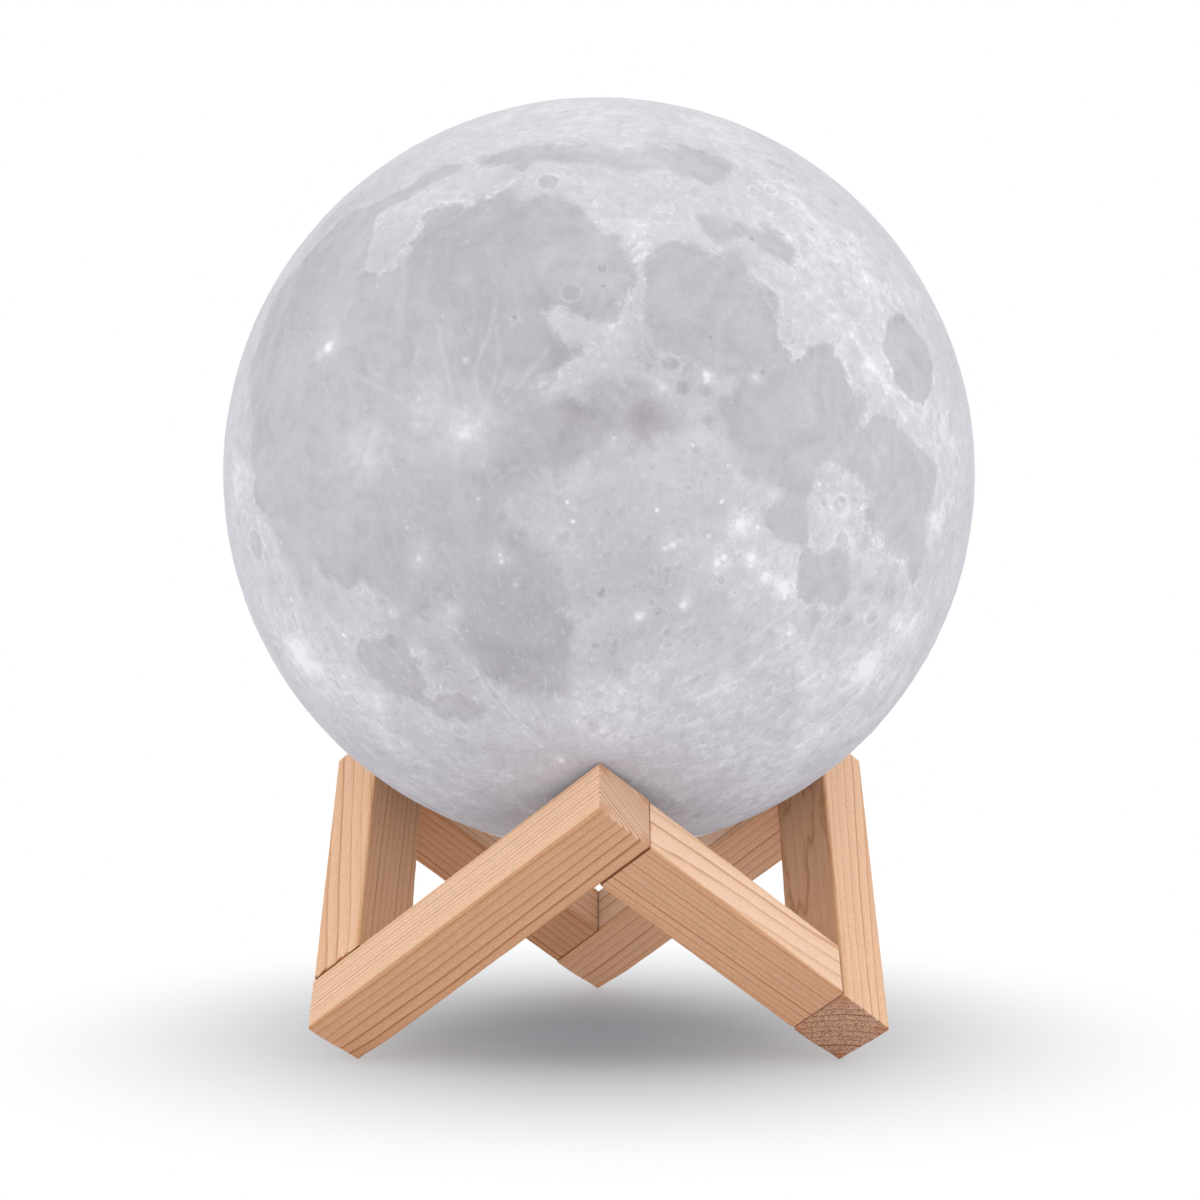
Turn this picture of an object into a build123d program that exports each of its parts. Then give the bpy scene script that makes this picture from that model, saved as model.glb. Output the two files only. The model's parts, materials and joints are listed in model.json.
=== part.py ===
from build123d import *
import os
from math import cos, radians, sin, sqrt

# Moon lamp: a hollow printed ball with a twist-in light unit, on a zig-zag stand of six square sticks.
# Millimetres, +Z up, origin on the floor under the ball, front towards -Y.

# Ball
ball_diameter = 150.0
shell_wall = 1.6

# Stand: the sticks follow six edges of a cube that stands on one corner
frame_edge = 78.5
stick_width = 13.0
stick_ease = 0.7
end_proud = 0.3
foot_cut = 0.9
seat_gap = 0.25
dowel_radius = 2.5
dowel_end_depth = 12.0
dowel_side_depth = 8.0
dowel_fit = 0.05
dowel_tip_room = 0.5

# Fits shared by the light unit
glue_line = 0.1
turning_gap = 0.3
screw_fit = 0.05
screw_tip_room = 0.3

# Power button, its bezel and its switch
button_radius = 6.0
button_gap = 0.3
button_recess = 0.2
button_flange = 1.2
button_lip = 1.1
button_ease = 0.4
button_rest_gap = 0.1
button_travel = 0.6
bezel_wall = 2.8
bezel_lip = 1.9
bezel_flange = 1.0
bezel_ease = 0.5
bezel_pole_gap = 0.1
plunger_radius = 1.7
plunger_reach = 1.4
plunger_entry = 0.4
plunger_gap = 0.3
switch_size = 6.2
switch_height = 3.0

# Charging socket and charge light
socket_width = 9.0
socket_depth = 3.3
socket_wall = 0.3
socket_corner = 1.2
socket_back = 1.5
socket_sink = 1.0
socket_slot_gap = 0.25
socket_spacing = 0.9
socket_azimuth = 270
tongue_width = 6.7
tongue_thickness = 0.7
tongue_length = 4.4
pipe_radius = 1.0
pipe_head_radius = 1.8
pipe_head = 1.0
pipe_gap = 0.3
pipe_azimuth = 30
indicator_size = (2.0, 1.2, 0.8)

# Base cap, its collar and its bayonet
cap_wall = 1.4
flange_gap = 0.3
collar_wall = 1.8
rim_ledge = 4.5
post_radius = 3.2
post_wall_gap = 0.4
post_count = 3
post_azimuth = 90
lug_reach = 1.8
lug_thickness = 1.8
lug_angle = 20.0
lug_count = 3
lug_azimuth = 30
lug_height = 9.4
twist_angle = 45.0
groove_gap = 0.1
groove_end_angle = 1.5
neck_lap = 4.0
neck_roof = 2.5

# Boards
board_thickness = 1.2
board_gap = 0.8
chip_room = 3.3
led_board_thickness = 1.6
led_board_inset = 0.7
led_size = 5.0
led_height = 1.6
led_circle = 9.0
led_count = 6
chip_places = [
    ((0.0, -3.0), (5.0, 4.0, 1.5)),
    ((-7.5, -1.0), (4.0, 4.0, 2.0)),
    ((5.5, -1.5), (1.2, 2.0, 0.8)),
    ((7.7, -1.5), (1.2, 2.0, 0.8)),
    ((9.9, -1.5), (1.2, 2.0, 0.8)),
]

# Screws
base_screw_radius = 1.0
base_screw_head_radius = 2.1
base_screw_head = 1.6
base_screw_hole = 1.3
base_screw_seat = 0.7
base_screw_tip = 0.8
head_gap = 0.3
led_screw_radius = 0.9
led_screw_head_radius = 1.8
led_screw_head = 1.2
led_screw_length = 7.0
led_screw_hole = 1.1
recess_depth = 0.7
recess_width = 0.5
recess_margin = 0.6

# Pillar, battery, leads and diffuser
pillar_step = 2.9
pillar_wall = 1.6
pillar_floor = 1.6
pillar_boss_radius = 2.4
led_boss_radius = 2.2
led_boss_height = 9.0
led_boss_merge = 0.5
rib_thickness = 1.6
rib_length = 2.6
rib_height = 28.0
battery_thickness = 6.0
battery_height = 40.0
battery_ease = 1.2
battery_gap = 0.4
pad_thickness = 1.0
top_room = 3.4
lead_radius = 0.6
lead_hole_gap = 0.6
lead_bend = 1.0
lead_rise = 1.8
battery_lead_x = 5.0
battery_lead_clear = 2.4
led_lead_x = 7.0
led_lead_clear = 1.4
led_lead_jog = 2.0
led_lead_bend = 6.0
dome_wall = 1.2
dome_skirt = 3.0
shoulder_lip = 0.3
shoulder_thickness = 1.2

# Directions of the cube's edges: front left, front right and back, each rising at the same slope
edge_rise = 1 / sqrt(3)
edge_reach = sqrt(2 / 3)


def edge_direction(azimuth):
    """Unit vector along one cube edge, rising towards an azimuth."""
    turn = radians(azimuth)
    return Vector(edge_reach * cos(turn), edge_reach * sin(turn), edge_rise)


cube_x = edge_direction(210)
cube_y = edge_direction(330)
cube_z = edge_direction(90)
cube_axes = {"x": cube_x, "y": cube_y, "z": cube_z}
inner_edge = frame_edge - stick_width
cube_base = -(inner_edge - end_proud) * edge_rise - foot_cut


def cube_point(x, y, z):
    """A point given along the cube's three edges, in the lamp's own frame."""
    return Vector(0, 0, cube_base) + cube_x * x + cube_y * y + cube_z * z


def seat_height(tip, along):
    """Lowest height of the ball's centre at which it clears a tip and the stick edge below it."""
    reach = ball_diameter / 2 + seat_gap
    tip_radius = sqrt(tip.X**2 + tip.Y**2)
    over_tip = sqrt(reach**2 - tip_radius**2)
    outward = tip.X * along.X + tip.Y * along.Y
    if outward <= over_tip * along.Z:
        return tip.Z + over_tip
    # The ball meets the edge below the tip: its centre is one reach away from that edge's line
    square = 1 - along.Z**2
    half = outward * along.Z
    rest = tip_radius**2 - outward**2 - reach**2
    return tip.Z + (sqrt(half**2 - square * rest) - half) / square


ball_radius = ball_diameter / 2
front_tip = cube_point(frame_edge, frame_edge + end_proud, stick_width)
ball_z = seat_height(front_tip, cube_y)
pole_z = ball_z - ball_radius


def sphere_z(radius, out):
    """Height of the lower half of a sphere about the ball's centre, at a distance from the axis."""
    return ball_z - sqrt(radius**2 - out**2)


def sphere_arc(radius, start, stop):
    """Arc of that sphere's section between two distances from the axis."""
    halfway = (start + stop) / 2
    return ThreePointArc(
        (start, sphere_z(radius, start)),
        (halfway, sphere_z(radius, halfway)),
        (stop, sphere_z(radius, stop)),
    )


def radial_plane(azimuth):
    """Upright plane through the Z axis: its x runs outwards at the azimuth and its y runs up."""
    turn = radians(azimuth)
    return Plane(origin=(0, 0, 0), x_dir=(cos(turn), sin(turn), 0), z_dir=(sin(turn), -cos(turn), 0))


def polar_point(radius, azimuth):
    """A place on a level sketch, at a distance from the Z axis."""
    turn = radians(azimuth)
    return Vector(radius * cos(turn), radius * sin(turn), 0)


# Light unit, worked outwards from the button
bezel_bore = button_radius + button_gap
bezel_radius = bezel_bore + bezel_wall
bezel_flange_radius = bezel_radius + bezel_lip
button_flange_radius = button_radius + button_lip
socket_circle = bezel_flange_radius + socket_spacing + socket_depth / 2
post_circle = bezel_flange_radius + socket_spacing + post_radius
collar_inner = post_circle + post_radius + post_wall_gap
collar_radius = collar_inner + collar_wall
mouth_radius = collar_radius + rim_ledge
cap_radius = mouth_radius - turning_gap
cap_hole = bezel_radius + glue_line
lug_radius = collar_radius + lug_reach
neck_bore = collar_radius + turning_gap
groove_radius = lug_radius + turning_gap
neck_radius = mouth_radius + neck_lap
board_radius = collar_inner - board_gap
pillar_radius = collar_radius - pillar_step
pillar_inner = pillar_radius - pillar_wall
led_board_radius = pillar_radius - led_board_inset
dome_inner = pillar_radius + glue_line
dome_radius = dome_inner + dome_wall
shoulder_radius = dome_radius + shoulder_lip
counterbore_radius = base_screw_head_radius + head_gap

# Light unit, worked upwards from the ball's lowest point
shell_inner = ball_radius - shell_wall
flange_inner = ball_radius - shell_wall + flange_gap
neck_under = shell_inner - glue_line
floor_z = sphere_z(ball_radius, collar_inner) + cap_wall
bezel_bottom = pole_z + bezel_pole_gap
bezel_top = floor_z + bezel_flange
button_bottom = bezel_bottom + button_recess
button_seat = bezel_top + button_rest_gap
button_top = button_seat + button_flange
switch_bottom = button_top + plunger_reach
board_z = switch_bottom + switch_height
board_top = board_z + board_thickness
collar_top = board_top + chip_room
lug_z = pole_z + lug_height
groove_z = lug_z - groove_gap
groove_top = lug_z + lug_thickness + groove_gap
neck_top = groove_top + neck_roof
socket_mouth = floor_z - socket_sink
screw_seat = floor_z + base_screw_seat
screw_tip = collar_top + pillar_floor - base_screw_tip
pad_z = collar_top + pillar_floor
battery_z = pad_z + pad_thickness
battery_top = battery_z + battery_height
pillar_top = battery_top + top_room
led_board_top = pillar_top + led_board_thickness
shoulder_z = pillar_top - dome_skirt
battery_half = sqrt(pillar_inner**2 - (battery_thickness / 2) ** 2) - battery_gap
led_boss_y = pillar_inner - led_boss_radius + led_boss_merge
rib_y = battery_thickness / 2 + battery_gap + rib_thickness / 2
battery_lead_y = battery_thickness / 2 + battery_lead_clear + lead_radius
led_lead_y = -(battery_thickness / 2 + led_lead_clear + lead_radius)

os.makedirs("parts", exist_ok=True)


def keep(part, name):
    """Names a finished piece and writes it."""
    part.label = name
    export_step(part, f"parts/{name}.step")


# Sticks: the edge each one runs along, the low corner of its section, its two ends and the ends that show
middle = stick_width / 2
far = frame_edge - middle
sticks = {
    "front_left_stick": ("y", (far, -end_proud, middle), frame_edge + 2 * end_proud, (0, -1)),
    "front_right_stick": ("x", (stick_width, far, middle), inner_edge - stick_width, ()),
    "right_stick": ("z", (middle, far, -end_proud), frame_edge + 2 * end_proud, (0, -1)),
    "back_right_stick": ("y", (middle, -end_proud, far), inner_edge + end_proud, (0,)),
    "back_left_stick": ("x", (stick_width, middle, far), inner_edge - stick_width, ()),
    "left_stick": ("z", (far, middle, stick_width), inner_edge + end_proud, (-1,)),
}

# Joints: the stick that butts, the stick it butts against, the joint's middle and the way its dowel points
corner_joints = [
    ("front_right_stick", "front_left_stick", (inner_edge, far, middle), cube_x),
    ("front_right_stick", "right_stick", (stick_width, far, middle), -cube_x),
    ("back_right_stick", "right_stick", (middle, inner_edge, far), cube_y),
    ("back_left_stick", "back_right_stick", (stick_width, middle, far), -cube_x),
    ("back_left_stick", "left_stick", (inner_edge, middle, far), cube_x),
    ("left_stick", "front_left_stick", (far, middle, stick_width), -cube_z),
]


def joint_plane(place, points, depth):
    """Plane across a dowel, at a depth inside the stick that butts."""
    return Plane(origin=cube_point(*place) - points * depth, z_dir=points)


hole_radius = dowel_radius + dowel_fit
hole_end_depth = dowel_end_depth + dowel_tip_room
hole_length = hole_end_depth + dowel_side_depth + dowel_tip_room

for stick_name, (run, corner, length, shown_ends) in sticks.items():
    run_axis = Axis((0, 0, 0), cube_axes[run])
    side = cube_x if run != "x" else cube_y
    with BuildPart() as stick:
        with BuildSketch(Plane(origin=cube_point(*corner), x_dir=side, z_dir=cube_axes[run])):
            Rectangle(stick_width, stick_width)
        extrude(amount=length)
        eased = stick.edges().filter_by(run_axis)
        for end in shown_ends:
            eased += stick.faces().sort_by(run_axis)[end].edges()
        fillet(eased, radius=stick_ease)
        for butting, against, place, points in corner_joints:
            if stick_name in (butting, against):
                with BuildSketch(joint_plane(place, points, hole_end_depth)):
                    Circle(hole_radius)
                extrude(amount=hole_length, mode=Mode.SUBTRACT)
        split(bisect_by=Plane.XY, keep=Keep.TOP)
    keep(stick.part, stick_name)

with BuildPart() as corner_dowels:
    for butting, against, place, points in corner_joints:
        with BuildSketch(joint_plane(place, points, dowel_end_depth)):
            Circle(dowel_radius)
        extrude(amount=dowel_end_depth + dowel_side_depth)
keep(corner_dowels.part, "corner_dowels")

# Hollow ball with a round mouth in its underside
with BuildPart() as moon_shell:
    with BuildSketch(Plane.XZ):
        with BuildLine():
            mouth_outer = (mouth_radius, sphere_z(ball_radius, mouth_radius))
            mouth_inner = (mouth_radius, sphere_z(shell_inner, mouth_radius))
            ThreePointArc(mouth_outer, (ball_radius, ball_z), (0, ball_z + ball_radius))
            Line((0, ball_z + ball_radius), (0, ball_z + shell_inner))
            ThreePointArc((0, ball_z + shell_inner), (shell_inner, ball_z), mouth_inner)
            Line(mouth_inner, mouth_outer)
        make_face()
    revolve(axis=Axis.Z)
keep(moon_shell.part, "moon_shell")

# Neck ring, glued round the mouth inside the ball, with an L-shaped slot for each bayonet lug
with BuildPart() as neck_ring:
    with BuildSketch(Plane.XZ):
        with BuildLine():
            sphere_arc(neck_under, neck_bore, neck_radius)
            Polyline(
                (neck_radius, sphere_z(neck_under, neck_radius)),
                (neck_radius, neck_top),
                (neck_bore, neck_top),
                (neck_bore, sphere_z(neck_under, neck_bore)),
            )
        make_face()
    revolve(axis=Axis.Z)
    slot_depth = groove_radius - neck_bore + turning_gap
    slot_middle = groove_radius - slot_depth / 2
    entry_arc = lug_angle + 2 * groove_end_angle
    for lug in range(lug_count):
        entry = lug_azimuth + lug * 360 / lug_count - twist_angle - groove_end_angle
        with BuildSketch(radial_plane(entry)):
            with Locations((slot_middle, (groove_z + groove_top) / 2)):
                Rectangle(slot_depth, groove_top - groove_z)
        revolve(axis=Axis.Z, revolution_arc=twist_angle + entry_arc, mode=Mode.SUBTRACT)
        with BuildSketch(radial_plane(entry)):
            with Locations((slot_middle, (pole_z + groove_top) / 2)):
                Rectangle(slot_depth, groove_top - pole_z)
        revolve(axis=Axis.Z, revolution_arc=entry_arc, mode=Mode.SUBTRACT)
keep(neck_ring.part, "neck_ring")

# Base cap: its underside goes on with the ball's round, its collar carries the lugs
with BuildPart() as base_cap:
    with BuildSketch(Plane.XZ):
        with BuildLine():
            sphere_arc(ball_radius, cap_hole, cap_radius)
            Line(
                (cap_radius, sphere_z(ball_radius, cap_radius)),
                (cap_radius, sphere_z(flange_inner, cap_radius)),
            )
            sphere_arc(flange_inner, cap_radius, collar_radius)
            Polyline(
                (collar_radius, sphere_z(flange_inner, collar_radius)),
                (collar_radius, collar_top),
                (collar_inner, collar_top),
                (collar_inner, floor_z),
                (cap_hole, floor_z),
                (cap_hole, sphere_z(ball_radius, cap_hole)),
            )
        make_face()
    revolve(axis=Axis.Z)
    for lug in range(lug_count):
        with BuildSketch(radial_plane(lug_azimuth + lug * 360 / lug_count)):
            with Locations((lug_radius - (lug_reach + collar_wall / 2) / 2, lug_z + lug_thickness / 2)):
                Rectangle(lug_reach + collar_wall / 2, lug_thickness)
        revolve(axis=Axis.Z, revolution_arc=lug_angle)
    with BuildSketch(Plane.XY.offset(floor_z)):
        with PolarLocations(post_circle, post_count, start_angle=post_azimuth):
            Circle(post_radius)
    extrude(amount=board_z - floor_z)
    with BuildSketch(Plane.XY.offset(pole_z)):
        with PolarLocations(post_circle, post_count, start_angle=post_azimuth):
            Circle(base_screw_hole)
    extrude(amount=board_z - pole_z, mode=Mode.SUBTRACT)
    with BuildSketch(Plane.XY.offset(pole_z)):
        with PolarLocations(post_circle, post_count, start_angle=post_azimuth):
            Circle(counterbore_radius)
    extrude(amount=screw_seat - pole_z, mode=Mode.SUBTRACT)
    with BuildSketch(Plane.XY.offset(pole_z)):
        with Locations(polar_point(socket_circle, socket_azimuth)):
            RectangleRounded(
                socket_width + 2 * socket_slot_gap,
                socket_depth + 2 * socket_slot_gap,
                socket_corner + socket_slot_gap,
            )
        with Locations(polar_point(socket_circle, pipe_azimuth)):
            Circle(pipe_radius + glue_line)
    extrude(amount=floor_z - pole_z, mode=Mode.SUBTRACT)
keep(base_cap.part, "base_cap")

# Metal bezel round the button, seated on the cap's floor
with BuildPart() as button_bezel:
    with BuildSketch(Plane.XZ):
        with BuildLine():
            Polyline(
                (bezel_bore, bezel_bottom),
                (bezel_radius, bezel_bottom),
                (bezel_radius, floor_z),
                (bezel_flange_radius, floor_z),
                (bezel_flange_radius, bezel_top),
                (bezel_bore, bezel_top),
                close=True,
            )
        make_face()
    revolve(axis=Axis.Z)
    fillet(button_bezel.faces().sort_by(Axis.Z)[0].edges(), radius=bezel_ease)
keep(button_bezel.part, "button_bezel")

# Power button, kept in by its flange above the bezel
with BuildPart() as power_button:
    with BuildSketch(Plane.XY.offset(button_bottom)):
        Circle(button_radius)
    extrude(amount=button_seat - button_bottom)
    fillet(power_button.faces().sort_by(Axis.Z)[0].edges(), radius=button_ease)
    with BuildSketch(Plane.XY.offset(button_seat)):
        Circle(button_flange_radius)
    extrude(amount=button_flange)
keep(power_button.part, "power_button")

# Switch plunger, pushed up by the button
with BuildPart() as switch_plunger:
    with BuildSketch(Plane.XY.offset(button_top)):
        Circle(plunger_radius)
    extrude(amount=plunger_reach + plunger_entry)
keep(switch_plunger.part, "switch_plunger")

# Tact switch under the control board
with BuildPart() as tact_switch:
    with BuildSketch(Plane.XY.offset(switch_bottom)):
        Rectangle(switch_size, switch_size)
    extrude(amount=switch_height)
    with BuildSketch(Plane.XY.offset(switch_bottom)):
        Circle(plunger_radius + plunger_gap)
    extrude(amount=plunger_entry + button_travel + plunger_gap, mode=Mode.SUBTRACT)
keep(tact_switch.part, "tact_switch")

# Charging socket, its mouth facing down in the cap's slot, and the tongue in it
socket_place = polar_point(socket_circle, socket_azimuth)
socket_length = board_z - socket_mouth
with BuildPart() as charging_socket:
    with BuildSketch(Plane.XY.offset(socket_mouth)):
        with Locations(socket_place):
            RectangleRounded(socket_width, socket_depth, socket_corner)
    extrude(amount=socket_length)
    with BuildSketch(Plane.XY.offset(socket_mouth)):
        with Locations(socket_place):
            RectangleRounded(
                socket_width - 2 * socket_wall, socket_depth - 2 * socket_wall, socket_corner - socket_wall
            )
    extrude(amount=socket_length - socket_back, mode=Mode.SUBTRACT)
keep(charging_socket.part, "charging_socket")

with BuildPart() as socket_tongue:
    with BuildSketch(Plane.XY.offset(board_z - socket_back)):
        with Locations(socket_place):
            Rectangle(tongue_width, tongue_thickness)
    extrude(amount=-tongue_length)
keep(socket_tongue.part, "socket_tongue")

# Charge light: a clear pipe from the underside to the indicator on the board
pipe_place = polar_point(socket_circle, pipe_azimuth)
indicator_bottom = board_z - indicator_size[2]
pipe_bottom = sphere_z(ball_radius, socket_circle - pipe_radius) + pipe_gap
with BuildPart() as charge_light_pipe:
    with BuildSketch(Plane.XY.offset(pipe_bottom)):
        with Locations(pipe_place):
            Circle(pipe_radius)
    extrude(amount=indicator_bottom - pipe_gap - pipe_bottom)
    with BuildSketch(Plane.XY.offset(floor_z)):
        with Locations(pipe_place):
            Circle(pipe_head_radius)
    extrude(amount=pipe_head)
keep(charge_light_pipe.part, "charge_light_pipe")

with BuildPart() as indicator_led:
    with BuildSketch(Plane.XY.offset(indicator_bottom)):
        with Locations(pipe_place):
            Rectangle(indicator_size[0], indicator_size[1])
    extrude(amount=indicator_size[2])
keep(indicator_led.part, "indicator_led")

# Control board, clamped between the cap's posts and the pillar's bosses
with BuildPart() as control_board:
    with BuildSketch(Plane.XY.offset(board_z)):
        Circle(board_radius)
        with PolarLocations(post_circle, post_count, start_angle=post_azimuth):
            Circle(base_screw_hole, mode=Mode.SUBTRACT)
    extrude(amount=board_thickness)
keep(control_board.part, "control_board")

with BuildPart() as board_chips:
    for place, (size_x, size_y, height) in chip_places:
        with BuildSketch(Plane.XY.offset(board_top)):
            with Locations(place):
                Rectangle(size_x, size_y)
        extrude(amount=height)
keep(board_chips.part, "board_chips")


def cross_marks(plane, places, head_radius):
    """A cross on each screw head, on a plane at the heads' faces."""
    span = 2 * (head_radius - recess_margin)
    with BuildSketch(plane) as marks:
        with Locations(places):
            Rectangle(span, recess_width)
            Rectangle(recess_width, span)
    return marks.sketch


# Base screws, up through the cap's posts and the board into the pillar's bosses
post_places = [polar_point(post_circle, post_azimuth + post * 360 / post_count) for post in range(post_count)]
with BuildPart() as base_screws:
    with BuildSketch(Plane.XY.offset(screw_seat)):
        with Locations(post_places):
            Circle(base_screw_head_radius)
    extrude(amount=-base_screw_head)
    with BuildSketch(Plane.XY.offset(screw_seat)):
        with Locations(post_places):
            Circle(base_screw_radius)
    extrude(amount=screw_tip - screw_seat)
    head_face = Plane(origin=(0, 0, screw_seat - base_screw_head), x_dir=(1, 0, 0), z_dir=(0, 0, -1))
    crosses = cross_marks(head_face, [(place.X, -place.Y) for place in post_places], base_screw_head_radius)
    extrude(crosses, amount=-recess_depth, mode=Mode.SUBTRACT)
keep(base_screws.part, "base_screws")

# Lamp pillar: a tube on the collar that holds the battery and carries the LED board and the diffuser
battery_lead_places = [(-battery_lead_x, battery_lead_y), (battery_lead_x, battery_lead_y)]
led_lead_feet = [(-led_lead_x, led_lead_y), (led_lead_x, led_lead_y)]
led_screw_places = [(0, -led_boss_y), (0, led_boss_y)]
rib_places = [(x, y) for x in (-pillar_inner, pillar_inner) for y in (-rib_y, rib_y)]
with BuildPart() as lamp_pillar:
    with BuildSketch(Plane.XZ):
        with BuildLine():
            Polyline(
                (0, collar_top),
                (collar_radius, collar_top),
                (collar_radius, pad_z),
                (pillar_radius, pad_z),
                (pillar_radius, shoulder_z - shoulder_thickness),
                (shoulder_radius, shoulder_z - shoulder_thickness),
                (shoulder_radius, shoulder_z),
                (pillar_radius, shoulder_z),
                (pillar_radius, pillar_top),
                (pillar_inner, pillar_top),
                (pillar_inner, pad_z),
                (0, pad_z),
                close=True,
            )
        make_face()
    revolve(axis=Axis.Z)
    with BuildSketch(Plane.XY.offset(board_top)):
        with Locations(post_places):
            Circle(pillar_boss_radius)
    extrude(amount=chip_room)
    with BuildSketch(Plane.XY.offset(pillar_top)):
        with Locations(led_screw_places):
            Circle(led_boss_radius)
    extrude(amount=-led_boss_height)
    with BuildSketch(Plane.XY.offset(pad_z)):
        with Locations(rib_places):
            Rectangle(2 * rib_length, rib_thickness)
        Circle(pillar_inner + pillar_wall / 2, mode=Mode.INTERSECT)
    extrude(amount=rib_height)
    with BuildSketch(Plane.XY.offset(board_top)):
        with Locations(post_places):
            Circle(base_screw_radius + screw_fit)
    extrude(amount=screw_tip - board_top + screw_tip_room, mode=Mode.SUBTRACT)
    with BuildSketch(Plane.XY.offset(pillar_top)):
        with Locations(led_screw_places):
            Circle(led_screw_radius + screw_fit)
    extrude(amount=-(led_screw_length + screw_tip_room), mode=Mode.SUBTRACT)
    with BuildSketch(Plane.XY.offset(collar_top)):
        with Locations(battery_lead_places + led_lead_feet):
            Circle(lead_radius + lead_hole_gap)
    extrude(amount=pillar_floor, mode=Mode.SUBTRACT)
keep(lamp_pillar.part, "lamp_pillar")

# Battery on its foam pad
with BuildPart() as battery_pad:
    with BuildSketch(Plane.XY.offset(pad_z)):
        Rectangle(2 * battery_half, battery_thickness)
    extrude(amount=pad_thickness)
keep(battery_pad.part, "battery_pad")

with BuildPart() as battery_cell:
    with BuildSketch(Plane.XY.offset(battery_z)):
        RectangleRounded(2 * battery_half, battery_thickness, battery_ease)
    extrude(amount=battery_height)
keep(battery_cell.part, "battery_cell")

# Battery leads: up out of the cell, over its shoulder and down through the pillar's floor to the board
for lead_name, (lead_x, lead_y) in zip(("battery_lead_red", "battery_lead_black"), battery_lead_places):
    with BuildPart() as battery_lead:
        with BuildLine() as lead_line:
            FilletPolyline(
                (lead_x, 0, battery_top),
                (lead_x, 0, battery_top + lead_rise),
                (lead_x, lead_y, battery_top + lead_rise),
                (lead_x, lead_y, board_top),
                radius=lead_bend,
            )
        with BuildSketch(Plane.XY.offset(battery_top)):
            with Locations((lead_x, 0)):
                Circle(lead_radius)
        sweep(path=lead_line.line)
    keep(battery_lead.part, lead_name)

# LED leads: down inside the pillar from the LED board to the control board
lead_third = (pillar_top - board_top) / 3
with BuildPart() as led_leads:
    for foot_x, foot_y in led_lead_feet:
        with BuildLine() as lead_line:
            FilletPolyline(
                (foot_x, foot_y - led_lead_jog, pillar_top),
                (foot_x, foot_y - led_lead_jog, pillar_top - lead_third),
                (foot_x, foot_y, board_top + lead_third),
                (foot_x, foot_y, board_top),
                radius=led_lead_bend,
            )
        with BuildSketch(Plane.XY.offset(pillar_top)):
            with Locations((foot_x, foot_y - led_lead_jog)):
                Circle(lead_radius)
        sweep(path=lead_line.line)
keep(led_leads.part, "led_leads")

# LED board on the pillar's rim, with its chips and screws
with BuildPart() as led_board:
    with BuildSketch(Plane.XY.offset(pillar_top)):
        Circle(led_board_radius)
        with Locations(led_screw_places):
            Circle(led_screw_hole, mode=Mode.SUBTRACT)
    extrude(amount=led_board_thickness)
keep(led_board.part, "led_board")

with BuildPart() as led_chips:
    with BuildSketch(Plane.XY.offset(led_board_top)):
        with PolarLocations(led_circle, led_count):
            Rectangle(led_size, led_size)
    extrude(amount=led_height)
keep(led_chips.part, "led_chips")

with BuildPart() as led_board_screws:
    with BuildSketch(Plane.XY.offset(led_board_top)):
        with Locations(led_screw_places):
            Circle(led_screw_head_radius)
    extrude(amount=led_screw_head)
    with BuildSketch(Plane.XY.offset(led_board_top)):
        with Locations(led_screw_places):
            Circle(led_screw_radius)
    extrude(amount=-(led_board_thickness + led_screw_length))
    head_face = Plane.XY.offset(led_board_top + led_screw_head)
    crosses = cross_marks(head_face, led_screw_places, led_screw_head_radius)
    extrude(crosses, amount=-recess_depth, mode=Mode.SUBTRACT)
keep(led_board_screws.part, "led_board_screws")

# Diffuser dome, its skirt seated on the pillar's shoulder
with BuildPart() as diffuser_dome:
    with BuildSketch(Plane.XZ):
        with BuildLine():
            Line((dome_inner, shoulder_z), (dome_radius, shoulder_z))
            Line((dome_radius, shoulder_z), (dome_radius, pillar_top))
            CenterArc((0, pillar_top), dome_radius, 0, 90)
            Line((0, pillar_top + dome_radius), (0, pillar_top + dome_inner))
            CenterArc((0, pillar_top), dome_inner, 0, 90)
            Line((dome_inner, pillar_top), (dome_inner, shoulder_z))
        make_face()
    revolve(axis=Axis.Z)
keep(diffuser_dome.part, "diffuser_dome")
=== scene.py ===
import json
import math

import bmesh
import bpy
import numpy as np
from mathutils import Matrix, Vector


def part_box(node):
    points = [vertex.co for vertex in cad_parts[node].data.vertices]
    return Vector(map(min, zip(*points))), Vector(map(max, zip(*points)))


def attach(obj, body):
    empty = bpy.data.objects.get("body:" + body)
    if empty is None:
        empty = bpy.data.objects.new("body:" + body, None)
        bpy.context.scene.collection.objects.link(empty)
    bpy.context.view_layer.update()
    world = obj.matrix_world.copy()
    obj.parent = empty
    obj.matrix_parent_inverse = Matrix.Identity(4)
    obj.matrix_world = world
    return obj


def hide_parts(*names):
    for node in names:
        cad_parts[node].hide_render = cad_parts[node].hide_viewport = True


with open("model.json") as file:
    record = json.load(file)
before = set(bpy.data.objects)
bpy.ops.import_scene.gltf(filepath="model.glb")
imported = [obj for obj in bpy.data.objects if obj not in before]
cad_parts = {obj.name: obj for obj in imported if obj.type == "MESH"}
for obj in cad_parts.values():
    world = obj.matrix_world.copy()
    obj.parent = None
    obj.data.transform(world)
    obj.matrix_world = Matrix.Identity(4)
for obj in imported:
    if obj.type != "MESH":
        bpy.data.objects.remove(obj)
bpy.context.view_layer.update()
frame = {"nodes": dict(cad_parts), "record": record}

# Moon lamp: a printed moon ball on a zig-zag stand of six square sticks. Metres, +Z up, front towards -Y.
MM = 0.001

# Stand, as in the solid model: the sticks follow six edges of a cube that stands on one corner
FRAME_EDGE = 78.5 * MM
STICK_WIDTH = 13.0 * MM
END_PROUD = 0.3 * MM
FOOT_CUT = 0.9 * MM
EDGE_RISE = 1 / math.sqrt(3)
EDGE_REACH = math.sqrt(2 / 3)
INNER_EDGE = FRAME_EDGE - STICK_WIDTH

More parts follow.
